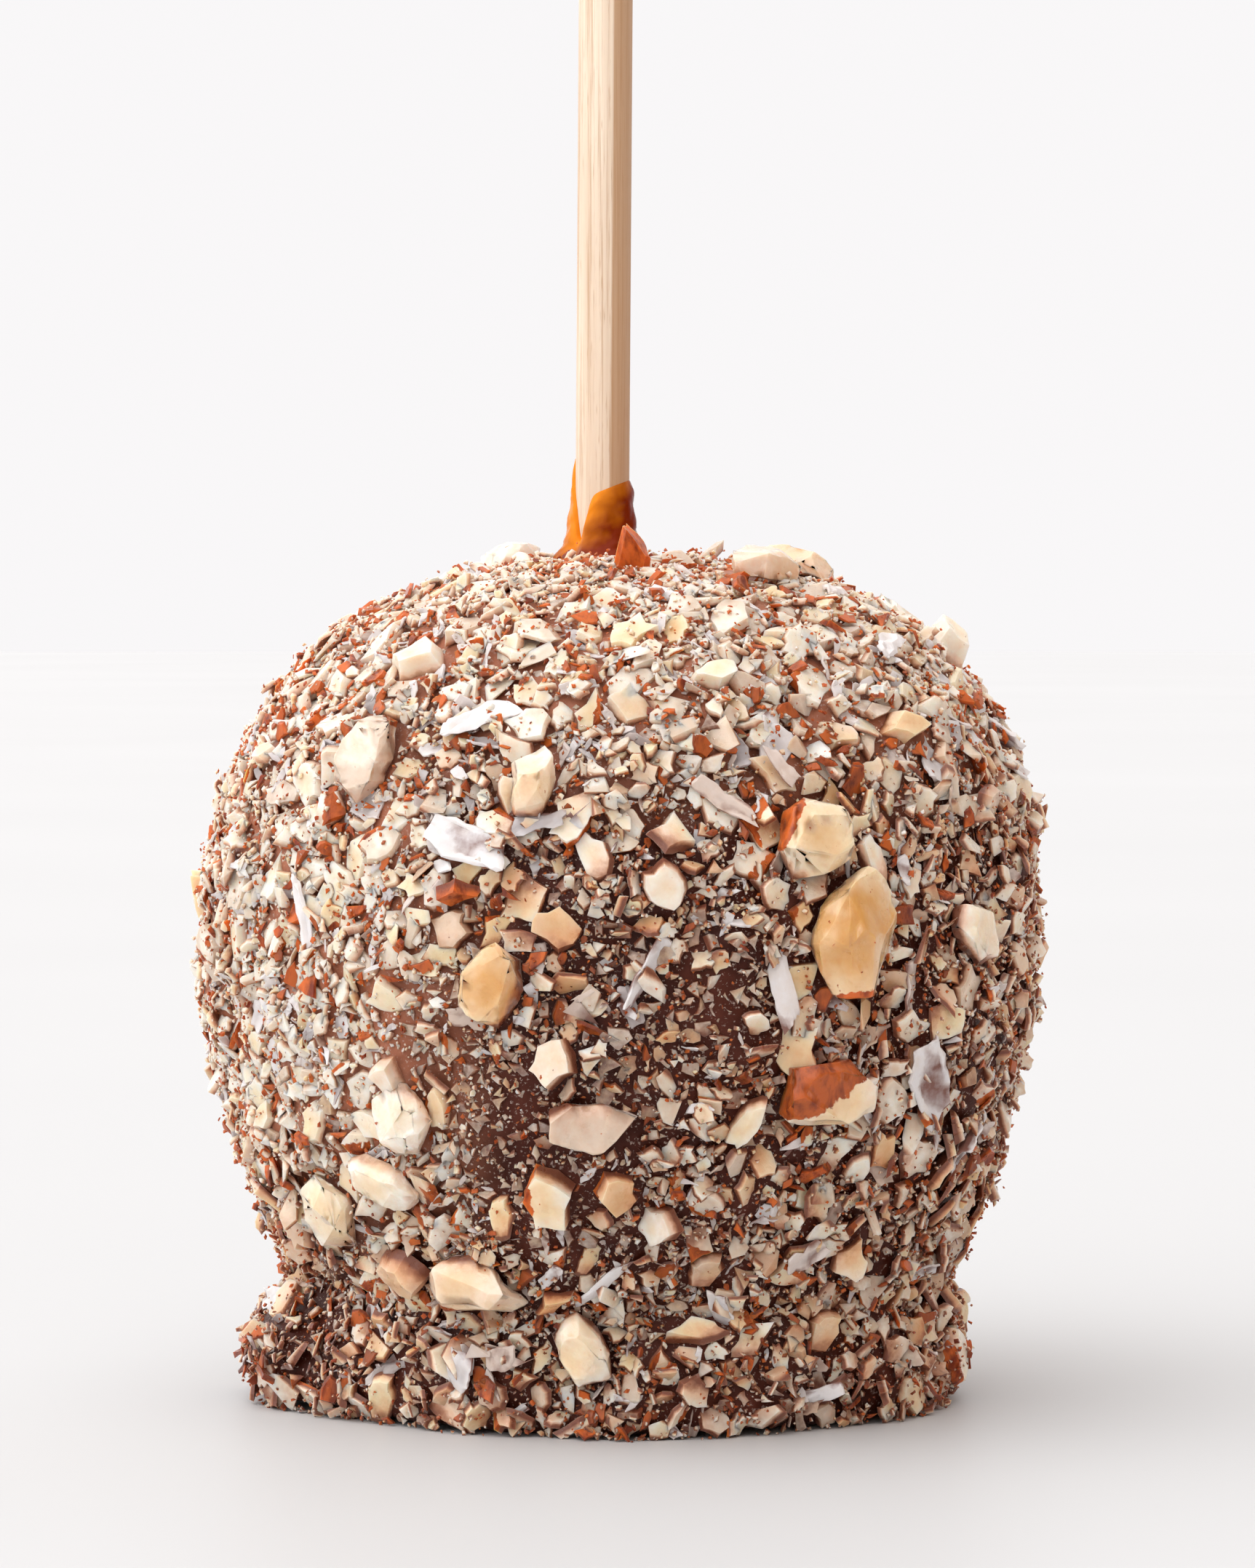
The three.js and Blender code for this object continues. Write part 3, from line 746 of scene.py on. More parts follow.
def dust(rng, kind, surface, crust, fullness):
    """Strews a finest kind at once: mostly into the gaps, and some on top of what lies there."""
    count = int(kind.count * fullness)
    azimuths, alongs = random_spots(rng, surface, count * 3)
    height = crust.height[crust.cells(azimuths, alongs, 0 * alongs, 0 * alongs)]
    bare = bareness(surface, azimuths, alongs)
    luck = rng.uniform(0, 1, len(azimuths))
    luck[height > THICK] = 1
    chosen = np.flatnonzero(luck < (1 - 0.75 * bare) * np.where(height > GAP, kind.on_top, 1))[:count]
    sizes = kind.draw_sizes(rng, len(chosen))
    turns = rng.uniform(0, math.pi, len(chosen))
    for size, k, turn in zip(sizes, chosen, turns):
        record(kind, azimuths[k], alongs[k], size, turn, (height[k] * SETTLED, 0, 0))


# ---------------- meshes


CHIP_EDGE = 28  # degrees between two faces of a chip from which their edge shows
SOFT_EDGE = 40


def put_in_scene(name, data):
    item = bpy.data.objects.new(name, data)
    bpy.context.scene.collection.objects.link(item)
    return item


def new_object(name, mesh, material, edge=SOFT_EDGE):
    """An object whose faces blend, but for edges that are sharper than an angle in degrees."""
    mesh.materials.append(bpy.data.materials[material])
    mesh.shade_smooth()
    mesh.set_sharp_from_angle(angle=math.radians(edge))
    return put_in_scene(name, mesh)


def object_from_bmesh(bm, name, material):
    mesh = bpy.data.meshes.new(name)
    bm.to_mesh(mesh)
    bm.free()
    return new_object(name, mesh, material)


def keep_in_box(bm):
    """Presses what sticks out of the solids' box, or into the floor, flat against the box."""
    for vert in bm.verts:
        vert.co = Vector(np.clip(vert.co, *CAD_BOX))


def add_attribute(mesh, name, values):
    """Puts a value on every corner: one for each, or the same for all."""
    attribute = mesh.attributes.new(name, "FLOAT", "POINT")
    attribute.data.foreach_set("value", np.full(len(mesh.vertices), values, np.float32))


def basis_for(rng, kind, surface, rows):
    """The axes that each laid piece's length, width and depth point along, and its middle."""
    azimuth, along, length, width, depth, turn, lift, slope_level, slope_up = rows.T
    level, up, out = surface.seat(azimuth, along)
    ground = surface.point(azimuth, along)
    restless = np.where(rng.random(len(rows)) < 0.15, 2.4, 1) * np.where(along < 10 * MM, 1.6, 1)
    restless *= 1 - 0.4 * flour_and_painted_light(ground)
    tumble = rng.normal(0, kind.tumble, (len(rows), 2)) * restless[:, None]
    normal = out - level * (slope_level + tumble[:, 0])[:, None] - up * (slope_up + tumble[:, 1])[:, None]
    normal /= np.linalg.norm(normal, axis=1, keepdims=True)
    lengthwise = level * np.cos(turn)[:, None] + up * np.sin(turn)[:, None]
    lengthwise -= normal * np.sum(lengthwise * normal, axis=1, keepdims=True)
    lengthwise /= np.linalg.norm(lengthwise, axis=1, keepdims=True)
    directions = np.stack([lengthwise, np.cross(normal, lengthwise), normal], axis=1)
    axes = directions * np.stack([length, width, depth], axis=1)[:, :, None]
    middle = ground + out * (lift + depth * (0.5 - kind.sunk))[:, None]
    return axes, middle


def keep_inside(corners):
    """Moves each piece that would stick out of the solids' box, or into the floor, back in."""
    low, high = (np.array(corner) for corner in CAD_BOX)
    short = np.maximum(0, low - corners.min(axis=1)) - np.maximum(0, corners.max(axis=1) - high)
    return corners + short[:, None, :]


def draw_looks(rng, kind, rows, middle):
    """How bright, warm, skinned and filmed each laid piece is, and how far up its foot is darkened: chocolate
    that climbed it, and painted shade in the gaps between pieces.
    """
    count = len(rows)
    small = rows[:, 2] < 5 * MM
    # Pieces on the dome and the front's left are brighter: nut flour, and also painted light where the light
    # falls.
    tone = np.maximum(rng.uniform(0, 1, count), rng.uniform(0.44, 0.6, count) * flour_and_painted_light(middle))
    warmth = [rng.beta(1.5, 2.6) if given is None else given for _, given, _ in kind.laid]
    skinned = [rng.random() < kind.skinned if given is None else given for _, _, given in kind.laid]
    foot = np.clip((11 * MM - middle[:, 2]) / (6 * MM), 0, 1) * (0.15 + 0.5 * np.abs(np.sin(rows[:, 0])))
    veil = 0.6 * rng.beta(0.7, 4, count) + kind.filmed * rng.uniform(0.5, 1.3, count)
    veil = np.clip(veil + foot * rng.uniform(0, 0.35, count), 0, 1) * small
    # A piece's foot is darkened: chocolate that climbed it, and painted shade in the gaps; less on the dome
    # and the front's left, where the light falls.
    climbed = 0.44 - 0.56 * flour_and_painted_light(middle) + foot * rng.uniform(0, 0.8, count) * small
    return tone, np.array(warmth), np.array(skinned), veil, climbed


def joined_toppings(rng, kind, surface):
    """One mesh with every laid piece of a kind."""
    rows = np.array([row for row, _, _ in kind.laid])
    axes, middle = basis_for(rng, kind, surface, rows)
    tone, warmth, skinned, veil, climbed = draw_looks(rng, kind, rows, middle)
    shape_of = rng.integers(0, len(kind.shapes), len(rows))
    looks = ("tone", "warmth", "skin", "veil", "smear_and_shade")
    parts = {name: [] for name in ("corners", "triangles", *looks)}
    start = 0
    for k, (corners, triangles, skin) in enumerate(kind.shapes):
        which = np.flatnonzero(shape_of == k)
        placed = keep_inside(np.einsum("vi,nij->nvj", corners, axes[which]) + middle[which][:, None, :])
        offsets = start + len(corners) * np.arange(len(which))
        parts["corners"].append(placed.reshape(-1, 3))
        parts["triangles"].append((triangles[None] + offsets[:, None, None]).reshape(-1, 3))
        for name, values in (("tone", tone), ("veil", veil)):
            parts[name].append(np.repeat(values[which], len(corners)))
        core = 0.8 * (0.35 - np.hypot(corners[:, 0], corners[:, 1]))
        parts["warmth"].append((warmth[which][:, None] + core[None]).ravel())
        peeled = skinned[which][:, None]
        parts["skin"].append(np.maximum(peeled * skin[None], peeled - 1).ravel())
        # Darker towards each piece's bottom: chocolate, and painted shade.
        parts["smear_and_shade"].append(np.clip(climbed[which][:, None] - 1.6 * corners[None, :, 2], 0, 1.2).ravel())
        start += len(corners) * len(which)
    joined = {name: np.concatenate(values) for name, values in parts.items()}
    mesh = bpy.data.meshes.new(kind.name)
    mesh.from_pydata(joined["corners"], [], joined["triangles"])
    for name in looks:
        add_attribute(mesh, name, joined[name])
    return new_object(kind.name, mesh, kind.material, CHIP_EDGE)


# ---------------- materials


def feed(tree, node, inputs):
    """Links or sets a node's inputs; an underscore in a name stands for a space."""
    for name, value in inputs.items():
        socket = node.inputs[name if isinstance(name, int) else name.replace("_", " ")]
        if isinstance(value, bpy.types.NodeSocket):
            tree.links.new(value, socket)
        elif socket.type == "RGBA":
            socket.default_value = (*value, 1)
        else:
            socket.default_value = value


def add_node(tree, kind, inputs=None, **values):
    """A node with its settings, and its inputs linked or set by name or number."""
    node = tree.nodes.new(kind)
    for name, value in values.items():
        setattr(node, name, value)
    feed(tree, node, inputs or {})
    return node


def ramp(tree, factor, stops):
    """A colour ramp; a stop is a position and a grey or a colour."""
    node = add_node(tree, "ShaderNodeValToRGB", {"Fac": factor})
    elements = node.color_ramp.elements
    while len(elements) < len(stops):
        elements.new(0.5)
    for element, (position, value) in zip(elements, stops):
        element.position = position
        grey = isinstance(value, (int, float))
        element.color = (value, value, value, 1) if grey else (*value, 1)
    return node.outputs["Color"]


def mix(tree, factor, first, second, blend_type="MIX"):
    node = add_node(
        tree, "ShaderNodeMix", {0: factor, 6: first, 7: second}, data_type="RGBA", blend_type=blend_type
    )
    return node.outputs[2]


def maths(tree, operation, first, second=0.0):
    node = add_node(tree, "ShaderNodeMath", {0: first, 1: second}, operation=operation)
    return node.outputs[0]


def times(tree, first, second):
    return maths(tree, "MULTIPLY", first, second)


def speckle(tree, vector, scale, detail=2.0, roughness=0.5):
    inputs = {"Vector": vector, "Scale": scale, "Detail": detail, "Roughness": roughness}
    return add_node(tree, "ShaderNodeTexNoise", inputs).outputs["Fac"]


def object_place(tree, stretch=(1, 1, 1)):
    place = add_node(tree, "ShaderNodeTexCoord").outputs["Object"]
    return add_node(tree, "ShaderNodeMapping", {"Vector": place, "Scale": stretch}).outputs["Vector"]


def attribute(tree, name):
    return add_node(tree, "ShaderNodeAttribute", attribute_name=name).outputs["Fac"]


def new_group(name, inputs, outputs):
    """An empty node group with its sockets; inputs and outputs are (name, socket type)."""
    group = bpy.data.node_groups.new(name, "ShaderNodeTree")
    for side, sockets in (("INPUT", inputs), ("OUTPUT", outputs)):
        for socket_name, kind in sockets:
            group.interface.new_socket(name=socket_name, in_out=side, socket_type=kind)
    return group, group.nodes.new("NodeGroupInput").outputs, group.nodes.new("NodeGroupOutput").inputs


def topping_tone_group():
    """Colour that differs from piece to piece and is mottled within each."""
    colours = [(name, "NodeSocketColor") for name in ("Middle", "Warm", "Amber", "Grey")]
    group, given, result = new_group("Topping Tone", colours, [("Color", "NodeSocketColor")])
    place = object_place(group)
    drift = times(group, maths(group, "SUBTRACT", speckle(group, place, 210, 3), 0.5), 1.3)
    warmth = times(group, maths(group, "ADD", attribute(group, "warmth"), drift), 0.5)
    warm = ramp(group, warmth, [(0.16, 0), (0.42, 1)])
    amber = ramp(group, warmth, [(0.45, 0), (0.75, 1)])
    grey = ramp(group, warmth, [(0.03, 1), (0.12, 0)])
    colour = mix(group, warm, given["Middle"], given["Warm"])
    colour = mix(group, amber, colour, given["Amber"])
    colour = mix(group, grey, colour, given["Grey"])
    shade = ramp(group, attribute(group, "tone"), [(0, (0.8, 0.58, 0.42)), (0.55, 1.0)])
    colour = mix(group, 1.0, colour, shade, "MULTIPLY")
    mottle = ramp(group, speckle(group, place, 650, 4, 0.6), [(0.3, (0.95, 0.91, 0.86)), (0.6, 1.0)])
    colour = mix(group, 1.0, colour, mottle, "MULTIPLY")
    group.links.new(colour, result["Color"])


def chocolate_veil_group():
    """A thin film of chocolate over a piece, and thick chocolate round its foot that is also painted shade in
    the gaps.
    """
    sockets = [(name, "NodeSocketColor") for name in ("Color", "Film", "Stain", "Chocolate")]
    group, given, result = new_group("Chocolate Veil", sockets, [("Color", "NodeSocketColor")])
    place = object_place(group)
    patches = ramp(group, speckle(group, place, 900, 3, 0.55), [(0.35, 0.55), (0.65, 1)])
    film = times(group, attribute(group, "veil"), patches)
    colour = mix(group, film, given["Color"], given["Film"])
    climb = maths(group, "ADD", attribute(group, "smear_and_shade"), times(group, patches, 0.35))
    # Painted warm shade on the piece's lower walls.
    warm_shaded = ramp(group, climb, [(0.28, 0), (0.85, 0.9)])
    colour = mix(group, warm_shaded, colour, given["Stain"], "MULTIPLY")
    # Chocolate round the foot, which is also painted shade.
    smeared_and_shaded = ramp(group, climb, [(0.55, 0), (1.1, 0.92)])
    group.links.new(mix(group, smeared_and_shaded, colour, given["Chocolate"]), result["Color"])


def almond_skin_group():
    """Papery red-brown almond skin with fine creases: a lit colour streaked over a darker one that lies in
    the creases, partly as painted shade.
    """
    sockets = [("Lit", "NodeSocketColor"), ("Dark", "NodeSocketColor")]
    outputs = [("Color", "NodeSocketColor"), ("Height", "NodeSocketFloat")]
    group, given, result = new_group("Almond Skin", sockets, outputs)
    streaks = speckle(group, object_place(group, (2, 2, 0.9)), 340, 4, 0.55)
    colour = mix(group, ramp(group, streaks, [(0.33, 0), (0.56, 1)]), given["Dark"], given["Lit"])
    shade = ramp(group, attribute(group, "tone"), [(0, 0.45), (0.8, 1.0)])
    group.links.new(mix(group, 1.0, colour, shade, "MULTIPLY"), result["Color"])
    group.links.new(streaks, result["Height"])


def fine_relief_group():
    """The height of small unevenness: broad dents with fine grit on them."""
    sockets = [("Broad Scale", "NodeSocketFloat"), ("Fine Scale", "NodeSocketFloat")]
    group, given, result = new_group("Fine Relief", sockets, [("Height", "NodeSocketFloat")])
    place = object_place(group)
    broad = speckle(group, place, given["Broad Scale"], 3)
    fine = speckle(group, place, given["Fine Scale"], 4, 0.7)
    height = maths(group, "ADD", broad, times(group, fine, 0.35))
    group.links.new(height, result["Height"])


def use_group(tree, name, **inputs):
    return add_node(tree, "ShaderNodeGroup", inputs, node_tree=bpy.data.node_groups[name]).outputs


def bumped(tree, height, strength, distance):
    inputs = {"Height": height, "Strength": strength, "Distance": distance}
    return add_node(tree, "ShaderNodeBump", inputs).outputs["Normal"]


def new_material(name):
    material = bpy.data.materials.new(name)
    material.use_nodes = True
    return material.node_tree


def set_shader(tree, **inputs):
    feed(tree, tree.nodes["Principled BSDF"], inputs)


def glow(weight, reach, scale):
    """A shader's settings for light that spreads under the surface."""
    return {"Subsurface_Weight": weight, "Subsurface_Radius": reach, "Subsurface_Scale": scale}


def relief_height(tree, broad, fine):
    return use_group(tree, "Fine Relief", Broad_Scale=broad, Fine_Scale=fine)["Height"]


def veiled(tree, coat, colour, warm_shade=(1, 1, 1)):
    """A topping's colour under the chocolate that clings to it, with a painted warm shade on its lower walls.
    """
    veil = use_group(tree, "Chocolate Veil", Color=colour, Film=coat.film, Stain=warm_shade, Chocolate=coat.smear_and_shade)
    return veil["Color"]


def chocolate_material(sizes):
    tree = new_material("milk_chocolate")
    place = object_place(tree)
    bloom = ramp(tree, speckle(tree, place, 160, 5, 0.6), [(0.42, 0), (0.68, 1)])
    colour = mix(tree, bloom, sizes.chocolate, sizes.bloom)
    # Nut flour lightens the chocolate on the dome and the front's left; there it is also painted light.
    uneven = ramp(tree, speckle(tree, place, 420, 4, 0.6), [(0.3, 0.6), (0.6, 1)])
    floured_and_lit = times(tree, attribute(tree, "flour_and_painted_light"), uneven)
    colour = mix(tree, floured_and_lit, colour, sizes.dusted_and_lit)
    fine = ramp(tree, speckle(tree, place, 2600, 3, 0.6), [(0.6, 0), (0.68, 1)])
    coarse = ramp(tree, speckle(tree, place, 1300, 3, 0.6), [(0.62, 0), (0.7, 1)])
    colour = mix(tree, times(tree, fine, 0.5), colour, sizes.flour)
    colour = mix(tree, times(tree, coarse, 0.35), colour, sizes.flour)
    relief = relief_height(tree, 500, 2200)
    set_shader(
        tree,
        Base_Color=colour,
        Roughness=ramp(tree, bloom, [(0, 0.3), (1, 0.55)]),
        Specular_IOR_Level=0.12,
        Normal=bumped(tree, relief, 0.5, 0.0003),
        **glow(0.08, (0.6, 0.3, 0.2), 0.001),
    )


def almond_material(coat, toppings):
    tree = new_material("chopped_almond")
    flesh = use_group(
        tree, "Topping Tone",
        Middle=toppings.almond, Warm=toppings.almond_warm,
        Amber=toppings.almond_amber, Grey=toppings.almond_grey,
    )["Color"]
    # Almond gets the painted warm shade on its lower walls.
    flesh = veiled(tree, coat, flesh, coat.warm_shade)
    skin = use_group(tree, "Almond Skin", Lit=toppings.skin, Dark=toppings.skin_dark_and_shade)
    edge = speckle(tree, object_place(tree), 1500, 3)
    ragged = maths(tree, "ADD", attribute(tree, "skin"), times(tree, edge, 0.6))
    specks = ramp(tree, speckle(tree, object_place(tree), 1250, 2, 0.4), [(0.73, 0), (0.765, 1)])
    mask = maths(tree, "MAXIMUM", ramp(tree, ragged, [(0.72, 0), (0.8, 1)]), specks)
    waxy = ramp(tree, mask, [(0, 1), (1, 0.4)])
    relief = relief_height(tree, 700, 3000)
    set_shader(
        tree,
        Base_Color=mix(tree, mask, flesh, skin["Color"]),
        Roughness=ramp(tree, relief, [(0.4, 0.22), (0.9, 0.42)]),
        Normal=bumped(tree, relief, 0.45, 0.0003),
        Specular_IOR_Level=times(tree, waxy, 0.5),
        Coat_Weight=times(tree, waxy, attribute(tree, "gloss")),
        Coat_Roughness=0.1,
        **glow(0.8, (1.0, 0.78, 0.62), 0.0011),
    )


def coconut_material(coat, toppings):
    tree = new_material("shaved_coconut")
    flesh = use_group(
        tree, "Topping Tone",
        Middle=toppings.coconut, Warm=toppings.coconut_grey,
        Amber=toppings.coconut_grey, Grey=toppings.coconut,
    )["Color"]
    flesh = veiled(tree, coat, flesh)
    relief = relief_height(tree, 900, 4200)
    set_shader(
        tree,
        Base_Color=flesh,
        Roughness=ramp(tree, relief, [(0.4, 0.4), (0.9, 0.62)]),
        Normal=bumped(tree, relief, 0.4, 0.0002),
        **glow(0.5, (1.0, 0.97, 0.95), 0.0008),
    )


def skin_material(coat, toppings):
    tree = new_material("almond_skin")
    skin = use_group(tree, "Almond Skin", Lit=toppings.skin, Dark=toppings.skin_dark_and_shade)
    colour = veiled(tree, coat, skin["Color"])
    set_shader(
        tree,
        Base_Color=colour,
        Roughness=ramp(tree, skin["Height"], [(0.3, 0.2), (0.7, 0.45)]),
        Specular_IOR_Level=0.25,
        Normal=bumped(tree, skin["Height"], 0.5, 0.0003),
        **glow(0.4, (1.0, 0.3, 0.1), 0.0012),
    )


def wood_material(sizes):
    tree = new_material("birch_wood")
    streaks = speckle(tree, object_place(tree, (1, 1, 0.01)), 2600, 6, 0.75)
    bands = speckle(tree, object_place(tree, (1, 1, 0.02)), 420, 3, 0.5)
    pores = speckle(tree, object_place(tree, (1, 1, 0.05)), 5200, 2, 0.5)
    colour = mix(
        tree, ramp(tree, bands, [(0.38, 0), (0.68, 1)]), sizes.wood,
        [0.55 * pale + 0.45 * dark for pale, dark in zip(sizes.wood, sizes.wood_grain_and_shade)],
    )
    colour = mix(tree, ramp(tree, streaks, [(0.5, 0), (0.62, 0.6)]), colour, sizes.wood_grain_and_shade)
    colour = mix(tree, ramp(tree, pores, [(0.62, 0), (0.74, 0.5)]), colour, sizes.wood_grain_and_shade)
    # Painted shade: a darker strip down the stick's right side, away from the light.
    colour = mix(tree, attribute(tree, "shaded_side"), colour, sizes.wood_grain_and_shade)
    set_shader(
        tree,
        Base_Color=colour,
        Roughness=ramp(tree, streaks, [(0.3, 0.5), (0.8, 0.7)]),
        Normal=bumped(tree, maths(tree, "ADD", streaks, times(tree, pores, 0.5)), 0.25, 0.0002),
        **glow(0.1, (1.0, 0.6, 0.3), 0.0008),
    )


def caramel_material(sizes):
    tree = new_material("glossy_caramel")
    thick = ramp(tree, speckle(tree, object_place(tree), 260, 3), [(0.35, 0), (0.7, 1)])
    # Thicker caramel is darker, and its right side is darker as painted shade.
    thickness = maths(tree, "MAXIMUM", attribute(tree, "thickness_and_shade"), times(tree, thick, 0.2))
    colour = mix(tree, thickness, sizes.caramel, sizes.caramel_dark)
    relief = relief_height(tree, 420, 1500)
    set_shader(
        tree,
        Base_Color=colour,
        Roughness=ramp(tree, relief, [(0.4, 0.06), (0.9, 0.16)]),
        Specular_IOR_Level=0.08,
        Normal=bumped(tree, relief, 0.3, 0.0004),
    )


def floor_material(sizes):
    tree = new_material("pale_floor")
    cloud = ramp(tree, speckle(tree, object_place(tree), 3, 2), [(0.3, 0.97), (0.7, 1.0)])
    colour = mix(tree, 1.0, sizes.floor, cloud, "MULTIPLY")
    set_shader(tree, Base_Color=colour, Roughness=0.5, Specular_IOR_Level=0.2)


# ---------------- operators, one for each piece or group


class CARAMELAPPLE_OT_coat(bpy.types.Operator):
    """Build the chocolate coat with its flat foot"""

    bl_idname = "caramel_apple.coat"
    bl_label = "Chocolate Coat"

    RIPPLED = 4 * MM  # size of the ripples
    UNDERCUT, UNDERCUT_HEIGHT = 1.6 * MM, 1.8 * MM  # how far the foot draws in, and from which height down

    def execute(self, context):
        sizes = settings().coat
        surface = AppleSurface(sizes)
        bm = bmesh.new()
        bmesh.ops.create_grid(bm, x_segments=300, y_segments=180, size=0.5)
        place = places(bm.verts)
        azimuth, along = TURN * place[:, 0], (place[:, 1] + 0.5) * surface.length
        points = surface.point(azimuth, along)
        out = surface.seat(azimuth, along)[2]
        for vert, point, outward in zip(bm.verts, points, out):
            ripple = noise.fractal(Vector(point) / self.RIPPLED, 0.9, 2.2, 4)
            fade = min(1, point[2] / (2 * MM)) * min(1, math.hypot(point[0], point[1]) / (6 * MM))
            undercut = self.UNDERCUT * max(0, 1 - point[2] / self.UNDERCUT_HEIGHT) ** 2
            vert.co = Vector(point) + Vector(outward) * (sizes.ripple * ripple * fade - undercut)
        close_rolled_grid(bm)
        keep_in_box(bm)
        piece = object_from_bmesh(bm, "chocolate_coat", "milk_chocolate")
        add_attribute(piece.data, "flour_and_painted_light", flour_and_painted_light(places(piece.data.vertices)))
        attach(piece, "root")
        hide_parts("coated_apple")
        return {"FINISHED"}


class CARAMELAPPLE_OT_chunks(bpy.types.Operator):
    """Round and wear the large almond chunks, and press them into the chocolate"""

    bl_idname = "caramel_apple.chunks"
    bl_label = "Almond Chunks"

    CUTS = 4  # sides that are cut flat
    OUTER_SIDE, OTHER_SIDES = (0.64, 0.76), (0.8, 0.9)  # shares of the reach that a cut leaves
    BLUNT = 0.35 * MM  # width of the broken edges
    ROUGH, SHRUNK = 0.34, 0.05  # millimetres: how uneven the faces are, and how far they draw in
    FOOT = 1.4 * MM  # height of the part that is drawn down into the chocolate
    SINK = 0.7 * MM  # how far the lowest of it is drawn down
    # Below this height a chunk is darkened: chocolate that climbed it, and painted shade at its foot.
    SMEARED_AND_SHADED = 1.3 * MM  # height that the chocolate climbs
    PLAIN = (0.7, 0.8)  # warmth and brightness of a chunk that is not in the table

    def execute(self, context):
        surface = AppleSurface(settings().coat)
        for node in CHUNK_NODES:
            self.build(node, surface)
        return {"FINISHED"}

    def build(self, node, surface):
        bm = bmesh.new()
        bm.from_mesh(frame["nodes"][node].data)
        bmesh.ops.remove_doubles(bm, verts=bm.verts[:], dist=0.02 * MM)
        middle = places(bm.verts).mean(0)
        number = int(node[-2:])
        rng = np.random.default_rng(number)
        level, up, out = (axis[0] for axis in surface.seat(*surface.above(middle[None])))
        for across, above, outward, reach in CHUNK_FACES.get(number, ()):
            direction = Vector(across * level + above * up + outward * out).normalized()
            cut_away(bm, Vector(middle) + direction * (reach * MM), direction)
        for i in range(0 if number in CHUNK_FACES else self.CUTS):
            direction = Vector(out + rng.normal(0, 0.3 if i == 0 else 1, 3)).normalized()
            reach = max((vert.co - Vector(middle)).dot(direction) for vert in bm.verts)
            kept = rng.uniform(*(self.OUTER_SIDE if i == 0 else self.OTHER_SIDES))
            cut_away(bm, Vector(middle) + direction * (reach * kept), direction)
        bmesh.ops.dissolve_limit(bm, angle_limit=math.radians(14), verts=bm.verts[:], edges=bm.edges[:])
        break_edges(bm, bm.edges[:], self.BLUNT, 2)
        wear(bm, 2)
        bm.normal_update()
        offset = Vector(middle) * 37
        bottom = min(vert.co.dot(Vector(out)) for vert in bm.verts)
        for vert in bm.verts:
            ragged = self.ROUGH * noise.fractal(vert.co / (3 * MM) + offset, 0.8, 2.2, 4) - self.SHRUNK
            vert.co += vert.normal * (ragged * MM)
            low = 1 - min(1, (vert.co.dot(Vector(out)) - bottom) / self.FOOT)
            vert.co -= Vector(out) * (self.SINK * max(0, low))
        keep_in_box(bm)
        # The darkened foot is weaker on the dome and the front's left, where the light falls.
        depth = (places(bm.verts) @ out - bottom) / self.SMEARED_AND_SHADED
        piece = object_from_bmesh(bm, node + "_worn", "chopped_almond")
        self.add_looks(piece.data, number, np.clip(1 - depth, 0, 1) * (1 - 0.75 * flour_and_painted_light(middle[None])[0]))
        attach(piece, "root")
        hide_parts(node)

    def add_looks(self, mesh, number, smear_and_shade):
        corners = places(mesh.vertices)
        warmth, tone = CHUNK_TONES.get(number, self.PLAIN)
        skin = 0
        if number in CHUNK_SKINS:
            side, skin_from = CHUNK_SKINS[number]
            reach = (corners - corners.mean(0)) @ np.array(Vector(side).normalized())
            skin = np.clip((reach / np.abs(reach).max() - skin_from) / 0.25, 0, 1)
        add_attribute(mesh, "tone", tone)
        away = np.linalg.norm(corners - corners.mean(0), axis=1)
        add_attribute(mesh, "warmth", warmth + 0.35 - 0.95 * away / away.max())
        add_attribute(mesh, "skin", skin)
        add_attribute(mesh, "gloss", 1)
        add_attribute(mesh, "veil", 0)
        add_attribute(mesh, "smear_and_shade", smear_and_shade)


# Three tables by the chunk's number. Flat faces given one by one: which way each looks, level, up and
# outward, and how many millimetres it lies from the chunk's middle.
CHUNK_FACES = {
    6: (
        (-0.05, 1, 0.1, 2.7), (-1, 0.1, 0.1, 4.6), (-0.2, -1, 0.1, 2.7), (0.74, -0.67, 0.1, 2.5),
        (0, 0.1, 1, 0.8),
    ),
}
# How warm and how bright the almond is.
CHUNK_TONES = {
    1: (1.5, 0.85), 2: (1.1, 0.8), 3: (0.95, 0.5), 4: (0.85, 0.38), 5: (0.3, 0.4), 6: (-0.2, 0.42),
    7: (1.5, 0.85), 8: (0.7, 0.9), 9: (0.9, 0.9), 10: (0.8, 0.8), 11: (0.6, 0.9), 12: (0.8, 0.42),
    14: (0.8, 0.3), 17: (0.8, 0.32), 20: (0.6, 0.3), 22: (0.9, 0.35),
}
# The side that kept its skin, and how far out on that side the skin begins, from -1 to 1.
CHUNK_SKINS = {
    1: ((0.1, -0.3, -1), 0.78), 2: ((-1, -0.2, 0.5), 0.6), 3: ((-0.3, -0.5, 0.8), -0.05),
    4: ((-0.2, 0, -1), 0.5), 5: ((1, 0, 1), 0.75), 7: ((-1, 0, 0.2), 0.75), 14: ((1, 1, 0.4), 0.1),
    20: ((-1, 1, -0.2), 0.2),
}


